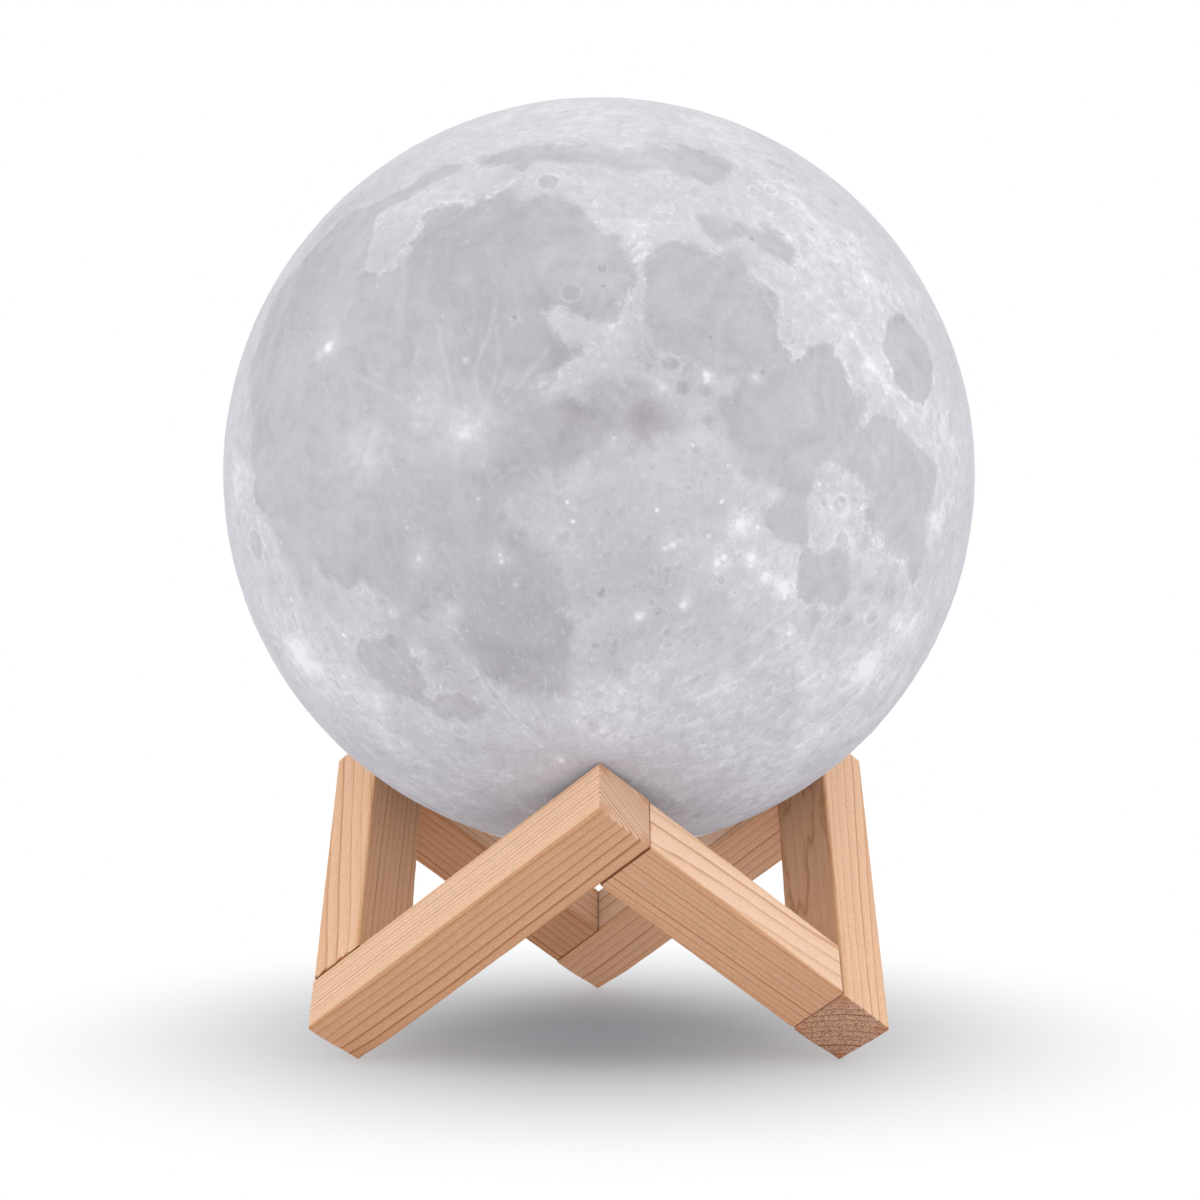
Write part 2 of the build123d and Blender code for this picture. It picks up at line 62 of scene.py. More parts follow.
# Sanding of the sticks: how far the edges are eased and how unevenly, a slow wave of the faces, how far a
# foot's corner is pressed up and over what height, how far from an end it is torn or soaked, mesh cells
STICK_EASE = 0.45 * MM
STICK_WEAR = 0.5 * MM
STICK_WAVE = 0.10 * MM
FOOT_PRESS = FOOT_CUT - (math.sqrt(3) - 1) * STICK_EASE
FOOT_RISE = 5.0 * MM
END_REACH = (1.3 * MM, 0.4 * MM)
STICK_CELLS_ACROSS = 24
STICK_CELL_ALONG = 0.8 * MM

# Ball, measured on the frame
ball_low, ball_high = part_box("moon_shell")
BALL_RADIUS = (ball_high.x - ball_low.x) / 2
BALL_CENTRE = Vector((0, 0, ball_high.z - BALL_RADIUS))
BALL_WALL = 1.6 * MM
MOUTH_RADIUS = 25.0 * MM
BALL_CELLS = 114
MOUTH_RINGS = 38
INSIDE_RINGS = 12

# Relief of the ball: depth of the plains, height of craters, ranges, pits and grain, spacing of the pits, and
# the curve across a crater from its middle to twice its radius, first its ends and then the points between
RELIEF_ROOM = 0.15 * MM
RELIEF = {
    "Plain Depth": 0.10 * MM, "Ring Height": 0.60 * MM, "Range Height": 0.10 * MM, "Pit Spacing": 6.4 * MM,
    "Pit Height": 0.10 * MM, "Grain Height": 0.30 * MM, "Room": RELIEF_ROOM * 0.9, "Seed": 5,
}
CRATER_ENDS = ((0.0, 0.24), (1.0, 0.5))
CRATER_CURVE = ((0.30, 0.22), (0.44, 0.56), (0.50, 0.80), (0.56, 0.66), (0.75, 0.53))

# One pixel of the camera's frame on the front of the ball, in radians
PIXEL_ANGLE = 0.0026

# Camera and light
CAMERA_PLACE = (0.0, -573 * MM, 106.6 * MM)
CAMERA_DIP = 1.9
CAMERA_LENS = 85.5
CAMERA_SENSOR = 36.0
FRAME_PIXELS = 1200
CAMERA_SHIFT = 1 / FRAME_PIXELS
SKY_EDGE = 1.0
SKY_TOP = 0.46
SOFT_LIGHTS = {
    "top_light": (0.8, (0.0, -0.10, 0.95)),
    "left_light": (2.2, (-0.66, -0.42, 0.76)),
    "right_light": (2.2, (0.66, -0.42, 0.76)),
}
SOFT_LIGHT_SIZE = 0.8
FLOOR_SIZE = 6.0
# Distances from the lamp over which the floor's painted shadow, a grey and cool paper, fades out to white
FLOOR_SHADOW_FADE = (0.0, 0.13)
FLOOR_BOUNCE = (0.94, 0.935, 0.955, 1.0)


# Small helpers for node trees
def is_vector(value):
    """True for a vector, as a node's output or as a tuple."""
    return value.socket.type == "VECTOR" if isinstance(value, Value) else isinstance(value, tuple)


class Value:
    """A node's output that sums can be written with. Each sum adds a math node to the tree."""

    def __init__(self, graph, socket):
        self.graph = graph
        self.socket = socket

    def __add__(self, other):
        return self.graph.sum("ADD", self, other)

    def __sub__(self, other):
        return self.graph.sum("SUBTRACT", self, other)

    def __rsub__(self, other):
        return self.graph.sum("SUBTRACT", other, self)

    def __mul__(self, other):
        return self.graph.sum("MULTIPLY", self, other)

    def __truediv__(self, other):
        return self.graph.sum("DIVIDE", self, other)

    __radd__ = __add__
    __rmul__ = __mul__


class Graph:
    """Adds nodes to a tree. A node is given numbers, tuples or other nodes' values."""

    def __init__(self, tree):
        self.tree = tree

    def node(self, kind, values=None, **settings):
        made = self.tree.nodes.new(kind)
        for name, setting in settings.items():
            setattr(made, name, setting)
        for key, value in (values or {}).items():
            self.feed(made.inputs[key], value)
        return made

    def out(self, kind, values=None, output=0, **settings):
        return Value(self, self.node(kind, values, **settings).outputs[output])

    def feed(self, socket, value):
        if isinstance(value, Value):
            self.tree.links.new(value.socket, socket)
        else:
            socket.default_value = value

    def math(self, operation, *values, clamp=False):
        return self.out("ShaderNodeMath", dict(enumerate(values)), operation=operation, use_clamp=clamp)

    def vector(self, operation, *values):
        output = "Value" if operation in ("LENGTH", "DISTANCE", "DOT_PRODUCT") else "Vector"
        return self.out("ShaderNodeVectorMath", dict(enumerate(values)), output, operation=operation)

    def sum(self, operation, first, second):
        """One sum of numbers, of vectors, or of a vector times a number."""
        vectors = is_vector(first) + is_vector(second)
        if vectors == 1 and operation == "MULTIPLY":
            vector, factor = (first, second) if is_vector(first) else (second, first)
            return self.out("ShaderNodeVectorMath", {0: vector, "Scale": factor}, "Vector", operation="SCALE")
        return self.vector(operation, first, second) if vectors else self.math(operation, first, second)

    def step(self, value, low, high, to_low=0.0, to_high=1.0):
        """A soft step. The node is left without its own clamp, which would overfill the ball's shader."""
        values = {"Value": value, "From Min": low, "From Max": high, "To Min": to_low, "To Max": to_high}
        return self.out("ShaderNodeMapRange", values, interpolation_type="SMOOTHSTEP", clamp=False)

    def noise(self, place, scale, detail=3.0, rough=0.5, twist=0.0, output=0):
        values = {"Vector": place, "Scale": scale, "Detail": detail, "Roughness": rough, "Distortion": twist}
        return self.out("ShaderNodeTexNoise", values, output)

    def swing(self, place, scale, detail=3.0, rough=0.5, twist=0.0):
        """Noise about zero."""
        return self.noise(place, scale, detail, rough, twist) - 0.5

    def cells(self, place, scale, **settings):
        """Irregular cells: distance from the middle, and the first share of each cell's own colour."""
        made = self.node("ShaderNodeTexVoronoi", {"Vector": place, "Scale": scale}, **settings)
        return Value(self, made.outputs["Distance"]), self.split(Value(self, made.outputs["Color"]))[0]

    def split(self, vector):
        return [Value(self, part) for part in self.node("ShaderNodeSeparateXYZ", {0: vector}).outputs]

    def join(self, x, y, z):
        return self.out("ShaderNodeCombineXYZ", {0: x, 1: y, 2: z})

    def blend(self, factor, first, second, way="MIX"):
        values = {0: factor, 6: first, 7: second}
        return self.out("ShaderNodeMix", values, 2, data_type="RGBA", blend_type=way)

    def ramp(self, factor, stops):
        made = self.node("ShaderNodeValToRGB", {0: factor})
        elements = made.color_ramp.elements
        while len(elements) < len(stops):
            elements.new(0.5)
        for element, (place, colour) in zip(elements, stops):
            element.position = place
            element.color = paint(*colour)
        return Value(self, made.outputs[0])

    def stored(self, *names):
        """Attributes of the piece, as a shader reads them."""
        return [self.out("ShaderNodeAttribute", None, "Fac", attribute_name=name) for name in names]

    def object_mm(self):
        """Object coordinates in millimetres."""
        return self.out("ShaderNodeTexCoord", None, "Object") * 1000.0

    def seen_ray(self):
        """One for rays from the camera, from gloss and through clear pieces, else zero."""
        path = self.node("ShaderNodeLightPath").outputs
        kinds = ("Camera", "Glossy", "Transmission")
        camera, glossy, through = [Value(self, path[f"Is {kind} Ray"]) for kind in kinds]
        return self.math("MAXIMUM", self.math("MAXIMUM", camera, glossy), through)


def paint(red, green, blue):
    """A colour given in display bytes, as the linear colour that nodes take."""
    linear = []
    for byte in (red, green, blue):
        share = byte / 255
        linear.append(share / 12.92 if share <= 0.04045 else ((share + 0.055) / 1.055) ** 2.4)
    return (*linear, 1.0)


def new_finish(name):
    """A material with an empty tree and a shader: returns the material, its graph and the shader."""
    finish = bpy.data.materials.new(name)
    finish.use_nodes = True
    finish.node_tree.nodes.clear()
    graph = Graph(finish.node_tree)
    shader = graph.node("ShaderNodeBsdfPrincipled")
    graph.node("ShaderNodeOutputMaterial", {"Surface": Value(graph, shader.outputs[0])})
    return finish, graph, shader


def dress(graph, shader, colour, rough, height, depth, strength=1.0, **sockets):
    """Gives a shader its colour, roughness, bump with its depth in metres, and other sockets by name."""
    height = graph.out("ShaderNodeBump", {"Strength": strength, "Distance": depth, "Height": height})
    sockets.update(Base_Color=colour, Roughness=rough, Normal=height)
    for socket, value in sockets.items():
        graph.feed(shader.inputs[socket.replace("_", " ")], value)


def new_group(name, kind, inputs, output):
    """A node group with named inputs and one output: returns its graph and a table of the inputs."""
    tree = bpy.data.node_groups.new(name, kind + "NodeTree")
    for socket, labels in inputs.items():
        for label in labels:
            tree.interface.new_socket(name=label, in_out="INPUT", socket_type="NodeSocket" + socket)
    tree.interface.new_socket(name=output, in_out="OUTPUT", socket_type="NodeSocket" + output)
    graph = Graph(tree)
    given = graph.node("NodeGroupInput").outputs
    return graph, {label: Value(graph, given[label]) for labels in inputs.values() for label in labels}


def close_tree(graph, geometry, material):
    """Ends a tree: smooth shading, no instances, one material."""
    smooth = graph.out("GeometryNodeSetShadeSmooth", {0: geometry})
    real = graph.out("GeometryNodeRealizeInstances", {0: smooth})
    dressed = graph.out("GeometryNodeSetMaterial", {"Geometry": real, "Material": material})
    graph.node("NodeGroupOutput", {0: dressed})
    return graph.tree


def named(graph, name):
    """A number stored on the points."""
    return graph.out("GeometryNodeInputNamedAttribute", {"Name": name}, data_type="FLOAT")


def store(graph, geometry, name, value, kind="FLOAT"):
    """Stores a value on the points."""
    values = {"Geometry": geometry, "Name": name, "Value": value}
    return graph.out("GeometryNodeStoreNamedAttribute", values, data_type=kind, domain="POINT")


def picked(graph, points, value, index, kind="FLOAT"):
    """A value on one point of another mesh."""
    values = {"Geometry": points, "Index": index, "Value": value}
    return graph.out("GeometryNodeSampleIndex", values, data_type=kind)


def linked(name, data):
    """A new object in the scene, at the origin."""
    made = bpy.data.objects.new(name, data)
    bpy.context.scene.collection.objects.link(made)
    return made


def grow(name, tree, values, blank=None):
    """Runs a tree on a blank mesh with named values and returns the result as a plain object."""
    start = linked(name + "_blank", blank or bpy.data.meshes.new(name + "_blank"))
    modifier = start.modifiers.new("build", "NODES")
    modifier.node_group = tree
    for item in tree.interface.items_tree:
        if item.in_out == "INPUT" and item.name in values:
            modifier[item.identifier] = values[item.name]
    depsgraph = bpy.context.evaluated_depsgraph_get()
    mesh = bpy.data.meshes.new_from_object(start.evaluated_get(depsgraph), depsgraph=depsgraph)
    mesh.name = name
    bpy.data.objects.remove(start)
    return linked(name, mesh)


# Places on the ball
def on_ball(latitude, longitude):
    """Direction from the ball's centre to a latitude and a longitude that counts from the front."""
    up, turn = math.radians(latitude), math.radians(longitude)
    return Vector((math.cos(up) * math.sin(turn), -math.cos(up) * math.cos(turn), math.sin(up)))


# The print as it is seen from the front, in pixels of the camera's square frame: outlines of the dark plains
PLAINS = {
    "wide_west": [
        (425, 211), (437, 204), (455, 202), (467, 208), (481, 200), (497, 191), (518, 184), (523, 194),
        (548, 194), (572, 197), (584, 207), (592, 219), (602, 229), (618, 233), (631, 246), (634, 270),
        (630, 290), (622, 305), (617, 322), (604, 326), (588, 322), (575, 316), (556, 306), (541, 312),
        (548, 327), (562, 339), (580, 339), (595, 345), (587, 351), (578, 359), (566, 371), (550, 381),
        (531, 389), (552, 396), (580, 394), (600, 378), (630, 375), (652, 384), (676, 397), (684, 411),
        (690, 428), (668, 440), (636, 437), (612, 446), (585, 462), (560, 478), (535, 490), (512, 502),
        (506, 516), (518, 532), (538, 546), (556, 558), (568, 574), (577, 592), (574, 612), (567, 632),
        (570, 655), (574, 676), (565, 690), (549, 698), (534, 703), (515, 696), (496, 689), (479, 673),
        (463, 656), (455, 640), (458, 624), (462, 606), (452, 599), (440, 604), (425, 613), (408, 617),
        (399, 606), (388, 602), (378, 604), (372, 592), (361, 584), (346, 591), (329, 578), (317, 575),
        (312, 591), (303, 590), (291, 567), (277, 549), (268, 521), (254, 502), (251, 470), (248, 440),
        (247, 405), (249, 372), (257, 345), (264, 320), (272, 299), (287, 279), (302, 261), (319, 240),
        (337, 223), (355, 209), (373, 203), (386, 195), (401, 188), (416, 178), (433, 169), (456, 163),
        (463, 168), (450, 176), (430, 184), (413, 191), (405, 199), (392, 205), (378, 213), (373, 238),
        (366, 267), (381, 277), (398, 262), (408, 248), (419, 232),
    ],
    "eastern_round": [
        (655, 246), (665, 242), (690, 243), (703, 251), (722, 256), (729, 246), (742, 249), (749, 262),
        (752, 275), (766, 284), (774, 295), (779, 306), (776, 321), (780, 340), (792, 355), (783, 363),
        (761, 373), (745, 372), (733, 376), (721, 379), (705, 372), (690, 362), (677, 352), (660, 345),
        (651, 337), (648, 318), (650, 300), (648, 284), (650, 264),
    ],
    "eastern_wide": [
        (745, 372), (761, 373), (782, 362), (796, 364), (806, 352), (822, 340), (836, 346), (840, 360),
        (846, 378), (852, 391), (870, 401), (862, 412), (857, 429), (866, 426), (873, 412), (885, 412),
        (898, 422), (908, 436), (918, 446), (930, 455), (938, 472), (936, 495), (930, 506), (929, 530),
        (927, 548), (921, 566), (914, 586), (907, 572), (900, 556), (884, 550), (873, 540), (869, 516),
        (864, 500), (866, 482), (858, 470), (845, 466), (832, 462), (815, 468), (812, 480), (808, 498),
        (806, 515), (808, 535), (803, 549), (789, 546), (775, 536), (767, 524), (765, 512), (778, 505),
        (782, 492), (770, 484), (752, 478), (742, 462), (735, 445), (725, 428), (716, 411), (712, 402),
        (722, 395), (731, 388), (738, 379),
    ],
    "south_eastern": [
        (803, 549), (822, 553), (838, 550), (849, 553), (853, 563), (850, 576), (848, 591), (846, 602),
        (837, 606), (829, 609), (819, 604), (808, 602), (800, 595), (797, 582), (798, 567),
    ],
    "eastern_oval": [
        (890, 318), (900, 312), (909, 321), (918, 330), (926, 341), (931, 352), (935, 366), (933, 381),
        (930, 396), (922, 401), (913, 402), (905, 395), (898, 385), (893, 372), (888, 358), (884, 345),
        (884, 330),
    ],
    "northern_band": [
        (478, 158), (500, 150), (520, 144), (546, 140), (575, 143), (600, 147), (625, 150), (650, 147),
        (680, 146), (705, 149), (722, 157), (733, 167), (728, 179), (714, 186), (699, 182), (684, 178),
        (668, 171), (640, 171), (616, 168), (600, 163), (580, 160), (555, 160), (535, 165), (519, 169),
        (500, 166), (486, 165),
    ],
    "north_eastern_lakes": [
        (692, 214), (708, 212), (722, 220), (740, 223), (760, 224), (775, 229), (786, 241), (798, 252),
        (790, 262), (772, 255), (757, 248), (745, 238), (732, 244), (716, 245), (706, 236), (697, 226),
    ],
    "south_western": [
        (361, 641), (375, 633), (388, 632), (401, 640), (412, 650), (416, 662), (422, 673), (428, 685),
        (421, 693), (433, 703), (447, 694), (459, 692), (472, 701), (486, 713), (478, 723), (458, 722),
        (440, 716), (420, 706), (404, 698), (389, 691), (375, 680), (364, 668), (356, 655),
    ],
}

# Lighter and darker stretches: pixel, radius in pixels, amount on the plains, amount on the uplands. Most are
# the print's own tone; a few rows low on the ball are painted light that lifts it against its own shading,
# and one is a painted shadow beside the stand's tip
SHADES = [
    (600, 112, 85, 0.0, 0.08), (520, 118, 60, 0.0, 0.04), (830, 250, 95, -0.02, 0.14),
    (868, 280, 14, 0.0, 0.18), (945, 430, 40, 0.05, 0.12), (236, 480, 30, 0.12, 0.20),
    (300, 655, 32, 0.1, 0.34), (420, 195, 40, 0.0, 0.06), (465, 432, 20, 0.18, 0.10),
    (440, 418, 48, 0.12, 0.0), (420, 405, 20, 0.10, 0.0), (365, 453, 26, 0.17, 0.0),
    (330, 340, 16, 0.14, 0.0), (548, 527, 24, 0.18, 0.12), (502, 558, 12, 0.22, 0.0),
    (418, 558, 13, 0.22, 0.1), (422, 655, 13, 0.1, 0.20), (455, 610, 12, 0.16, 0.16),
    (600, 410, 80, -0.03, -0.05), (565, 350, 20, -0.12, -0.05), (582, 412, 16, -0.14, -0.1),
    (648, 414, 18, -0.14, -0.1), (655, 562, 24, 0.0, -0.12), (660, 588, 14, 0.0, -0.08),
    (610, 642, 18, 0.0, -0.14), (612, 668, 15, 0.0, -0.12), (640, 630, 14, 0.0, -0.10),
    (700, 642, 20, 0.0, -0.08), (710, 611, 12, 0.0, -0.12), (735, 656, 14, 0.0, -0.10),
    (715, 510, 11, 0.0, -0.14), (590, 545, 36, 0.0, -0.08), (707, 377, 8, 0.20, 0.22),
    (664, 388, 10, 0.22, 0.24), (757, 377, 7, 0.24, 0.0), (685, 390, 8, -0.10, -0.16),
    (708, 391, 8, -0.06, -0.16), (708, 420, 8, -0.08, -0.16), (740, 526, 14, 0.1, 0.26),
    (673, 545, 13, 0.0, 0.18), (720, 560, 11, 0.0, 0.22), (751, 557, 9, 0.0, 0.20),
    (766, 572, 12, 0.0, 0.16), (786, 588, 12, 0.0, 0.26), (640, 615, 9, 0.0, 0.22),
    (790, 634, 11, 0.0, 0.18), (683, 604, 9, 0.0, 0.14), (815, 617, 9, 0.0, -0.22),
    (847, 618, 8, -0.1, -0.20), (836, 503, 20, 0.10, 0.12), (866, 541, 9, -0.12, -0.20),
    (869, 513, 8, -0.12, -0.18), (870, 590, 8, -0.1, -0.24), (890, 592, 11, -0.1, -0.24),
    (937, 522, 14, 0.30, 0.26), (868, 668, 18, 0.0, 0.22), (886, 682, 13, 0.0, 0.18),
    (905, 630, 32, 0.0, 0.14), (640, 232, 13, 0.0, 0.04), (645, 256, 10, 0.0, 0.08),
    (640, 303, 18, 0.0, -0.14), (614, 338, 12, 0.0, 0.16), (850, 311, 8, 0.0, -0.14),
    (790, 240, 16, 0.0, 0.10), (925, 415, 18, 0.0, 0.14), (385, 700, 20, 0.05, 0.14),
    (412, 736, 13, 0.0, -0.14), (380, 754, 12, 0.0, -0.10), (460, 742, 12, 0.0, -0.14),
    (495, 750, 13, 0.0, -0.16), (600, 712, 36, 0.10, 0.16), (600, 270, 34, 0.06, 0.0),
    # (600, 850) lifts the whole lower half of the ball against its own shading: painted light
    (600, 660, 210, -0.05, -0.04), (600, 850, 190, 0.08, 0.12), (330, 500, 120, 0.05, 0.06),
    (880, 520, 120, 0.12, 0.10), (600, 490, 120, -0.02, -0.06), (850, 640, 110, 0.03, 0.04),
    (350, 690, 90, 0.06, 0.12), (560, 260, 130, -0.09, 0.0), (680, 362, 28, -0.05, -0.20),
    (535, 515, 30, -0.05, -0.10), (735, 203, 34, 0.0, -0.10), (745, 262, 14, 0.0, -0.12),
    (530, 183, 40, 0.0, -0.06), (335, 215, 30, 0.0, -0.14), (592, 238, 15, 0.10, 0.04),
    (600, 282, 15, 0.10, 0.04), (780, 325, 11, 0.0, -0.14), (345, 362, 24, 0.08, 0.0),
    (410, 610, 16, 0.0, -0.10), (440, 655, 24, 0.0, -0.12), (580, 600, 12, -0.06, -0.14),
    (620, 590, 36, 0.0, -0.08), (863, 402, 12, 0.0, -0.16), (885, 455, 20, 0.10, 0.0),
    # painted light and painted shadow: (430, 800) and (760, 800) lift the low sides of the ball against its
    # shading, and (575, 762) darkens it beside the stand's tip
    (820, 546, 11, 0.0, -0.08), (850, 720, 60, 0.0, 0.08), (430, 800, 45, 0.08, 0.14),
    (760, 800, 45, 0.10, 0.18), (760, 680, 40, 0.0, 0.08), (575, 762, 24, -0.10, -0.20),
    (650, 352, 22, 0.0, -0.16), (697, 369, 13, -0.06, -0.16), (620, 345, 28, 0.0, -0.08),
    (325, 595, 16, 0.0, -0.14), (400, 625, 22, 0.0, -0.12), (425, 660, 24, 0.0, -0.12),
    (460, 682, 24, 0.0, -0.10), (365, 680, 20, 0.0, -0.12), (395, 702, 15, 0.0, -0.12),
    (666, 625, 16, 0.0, -0.12), (570, 662, 14, 0.0, -0.10), (850, 606, 40, 0.0, -0.08),
    (902, 590, 14, -0.04, -0.12), (522, 530, 25, -0.04, -0.06), (735, 420, 22, -0.05, -0.14),
    (550, 381, 12, -0.04, -0.10), (660, 190, 32, 0.0, -0.07), (392, 255, 16, 0.0, -0.10),
    (320, 230, 26, 0.0, -0.08), (640, 155, 28, 0.18, 0.08), (720, 130, 18, 0.0, 0.10),
    (905, 285, 34, 0.0, 0.06), (915, 640, 30, 0.0, 0.08), (962, 520, 20, 0.0, 0.04),
    (884, 366, 16, 0.06, 0.08), (650, 755, 26, 0.0, 0.08), (740, 745, 34, 0.0, 0.06),
    (765, 507, 12, 0.08, 0.08), (340, 605, 40, -0.04, -0.10), (420, 630, 50, -0.05, -0.08),
    (400, 690, 40, -0.04, -0.08), (520, 690, 40, -0.06, -0.05), (360, 545, 40, -0.05, -0.04),
    (500, 185, 40, -0.04, -0.06), (365, 195, 25, 0.0, -0.10), (470, 380, 30, -0.05, 0.0),
    (735, 395, 40, -0.05, -0.10), (635, 290, 16, -0.1, -0.12), (780, 335, 16, -0.06, -0.10),
    (865, 405, 14, -0.06, -0.10), (890, 610, 20, -0.06, -0.10), (750, 250, 24, -0.05, -0.08),
    (900, 350, 30, 0.07, 0.05), (815, 365, 12, 0.06, 0.06), (720, 125, 30, 0.0, 0.06),
    # (850, 690), (780, 755) and (690, 705) lift the lower right of the ball against its shading: painted
    # light
    (388, 245, 30, 0.0, -0.12), (420, 218, 22, 0.0, -0.08), (850, 690, 90, 0.0, 0.06),
    (780, 755, 60, 0.0, 0.09), (690, 705, 60, 0.0, 0.05), (300, 270, 60, -0.05, -0.05),
    (440, 240, 60, -0.06, 0.0), (530, 640, 60, -0.05, 0.0),
]

# Places where the edges of the plains are lost: pixel, radius in pixels, how far
SOFT = [
    (600, 480, 130, 0.9), (600, 155, 150, 0.5), (730, 230, 60, 0.5), (420, 620, 70, 0.6),
    (270, 380, 90, 0.7), (540, 690, 60, 0.6), (300, 560, 60, 0.6), (480, 700, 50, 0.5), (590, 250, 50, 0.6),
    (680, 420, 50, 0.7), (740, 455, 40, 0.6), (890, 560, 50, 0.8), (865, 480, 30, 0.5),
]

# Mountain chains with a bright crumbled edge: polylines in pixels, width in pixels
RANGES = [
    ([(600, 343), (588, 350), (577, 361), (566, 371), (550, 381), (531, 389)], 7),
    ([(655, 212), (643, 235), (640, 262), (637, 285), (624, 303), (612, 325), (603, 342)], 15),
    ([(604, 345), (640, 352), (675, 360), (705, 378)], 9),
    ([(752, 276), (768, 290), (782, 320), (786, 345), (797, 362)], 11),
    ([(425, 211), (419, 232), (400, 256), (383, 276)], 10),
    ([(425, 210), (452, 202), (470, 206), (520, 176), (560, 168), (590, 190), (600, 222)], 9),
    ([(843, 350), (846, 378), (856, 394), (872, 402), (866, 425)], 9),
    ([(884, 330), (890, 365), (905, 396), (922, 402), (934, 380)], 10),
    ([(414, 650), (424, 672), (440, 690)], 12),
    ([(866, 480), (872, 545), (900, 556), (912, 585)], 14),
    ([(800, 552), (797, 582), (808, 604), (840, 607)], 9),
]

# Ringed craters: pixel, radius in pixels, how dark the floor is, how bright the rim is
RINGS = [
    (548, 181, 11.5, 0.9, 1.2), (571, 292, 10, 0.2, 0.8), (602, 267, 6, 0.6, 0.4), (603, 286, 4, 0.8, 0.3),
    (515, 318, 5, 0.2, 0.6), (662, 180, 9.5, -0.3, 1.0), (666, 207, 8.5, -0.3, 1.0),
    (754, 189, 5.5, 0.5, 1.4), (771, 189, 7.5, 0.2, 1.4), (775, 163, 11, 0.7, 0.3),
    (735, 203, 13, 0.0, 0.3), (784, 560, 10, -0.2, 0.9), (880, 540, 7, 0.1, 1.6), (815, 618, 9, 0.3, 0.3),
    (848, 620, 7, 0.3, 0.3), (255, 545, 17, 0.9, 0.4), (238, 521, 7, 0.8, 0.2), (565, 763, 10, 0.0, 0.8),
    (378, 628, 7.5, 0.0, 1.0), (393, 613, 6.5, -0.6, 0.8), (416, 620, 5.5, -0.6, 0.8),
    (454, 689, 4.5, 0.3, 0.9), (708, 420, 7, 0.4, 0.3), (682, 388, 8, 0.4, 0.3), (704, 390, 8, 0.4, 0.3),
    (680, 630, 3.5, 0.0, 1.0), (658, 611, 5.5, 0.3, 0.6), (812, 352, 6, 0.3, 0.4), (868, 512, 5, 0.4, 0.3),
    (440, 316, 4, 0.0, 0.6), (466, 329, 4, 0.3, 0.4), (836, 203, 9, 0.7, 0.2), (940, 418, 7, 0.5, 0.3),
    (951, 420, 9, 0.6, 0.3), (616, 229, 4, 0.0, 0.8), (662, 231, 6, 0.4, 0.3), (598, 696, 6, 0.5, 0.2),
    (594, 646, 5, 0.7, 0.1), (520, 581, 4, 0.0, 0.6), (562, 571, 9, 0.1, 0.5), (602, 537, 6, 0.0, 0.7),
    (882, 433, 4, 0.0, 0.8), (632, 178, 6, -0.3, 0.3), (455, 775, 8, 0.2, 0.2),
]

# Single bright and dark specks: pixel, radius in pixels, amount
SPECKS = [
    (327, 347, 6, 0.55), (318, 355, 6, 0.25), (466, 360, 3, 0.35), (418, 398, 2.5, 0.3), (442, 315, 2, 0.3),
    (365, 406, 4, 0.2), (478, 498, 2.5, 0.4), (502, 562, 2.5, 0.5), (500, 556, 2, 0.4),
    (406, 528, 2.2, 0.45), (418, 558, 3, 0.35), (567, 502, 1.8, 0.6), (573, 521, 2.4, 0.6),
    (515, 585, 2.5, 0.3), (343, 636, 2.8, 0.45), (360, 631, 2, 0.3), (343, 678, 2.4, 0.35),
    (290, 600, 3, 0.3), (265, 526, 2, 0.4), (280, 544, 2.2, 0.35), (658, 511, 2.2, 0.55),
    (722, 502, 2.2, 0.6), (740, 523, 3.5, 0.35), (757, 527, 1.8, 0.45), (709, 536, 2.4, 0.35),
    (718, 563, 3.5, 0.4), (725, 557, 2.6, 0.45), (751, 558, 3, 0.5), (750, 565, 1.8, 0.4),
    (672, 545, 3.5, 0.35), (664, 549, 3, 0.3), (717, 574, 2.4, 0.3), (683, 605, 3, 0.35),
    (640, 616, 4, 0.3), (668, 609, 1.6, 0.4), (785, 588, 4.5, 0.35), (785, 598, 2.5, 0.4),
    (766, 575, 4.5, 0.25), (790, 634, 3, 0.35), (868, 670, 4, 0.4), (878, 680, 4, 0.3),
    (870, 364, 3.5, 0.35), (867, 279, 3, 0.35), (846, 291, 2.5, 0.3), (820, 483, 2.4, 0.4),
    (831, 508, 1.8, 0.4), (948, 529, 2.5, 0.35), (707, 374, 4, 0.3), (663, 388, 4, 0.3),
    (756, 377, 3.5, 0.3), (614, 438, 2, 0.4), (693, 445, 1.8, 0.45), (728, 466, 2, 0.35),
    (713, 461, 1.6, 0.3), (636, 184, 3, 0.15), (475, 128, 2, 0.3), (606, 366, 3, 0.2),
    (640, 318, 2.5, 0.25), (800, 747, 5, 0.2), (825, 676, 4, 0.25), (812, 228, 3, -0.35),
    (752, 238, 3, -0.3), (798, 256, 2.4, -0.25), (795, 267, 1.8, -0.3), (805, 274, 1.6, -0.3),
    (798, 280, 1.8, -0.3), (711, 336, 1.6, -0.25), (600, 594, 3.5, -0.3), (603, 590, 2.5, -0.3),
    (784, 342, 3, -0.3), (793, 342, 2, -0.3), (790, 350, 2, -0.25), (798, 360, 1.8, -0.3),
    (763, 373, 3, -0.25), (515, 317, 2, -0.3),
]

# Craters whose rays show: pixel, halo and reach of the rays in pixels, fineness, strength
RAYS = [
    (467, 431, 66, 190, 1.0, 0.55), (365, 455, 40, 110, 1.0, 0.45), (328, 346, 26, 110, 1.2, 0.6),
    (563, 762, 14, 420, 3.0, 1.3), (870, 364, 26, 100, 1.0, 0.55), (304, 660, 36, 140, 1.4, 0.5),
    (740, 526, 24, 70, 1.0, 0.4), (785, 590, 26, 80, 1.0, 0.4), (868, 672, 28, 130, 1.4, 0.5),
    (600, 118, 40, 170, 1.6, 0.35), (515, 318, 14, 32, 1.0, 0.3), (707, 378, 18, 60, 1.0, 0.3),
]

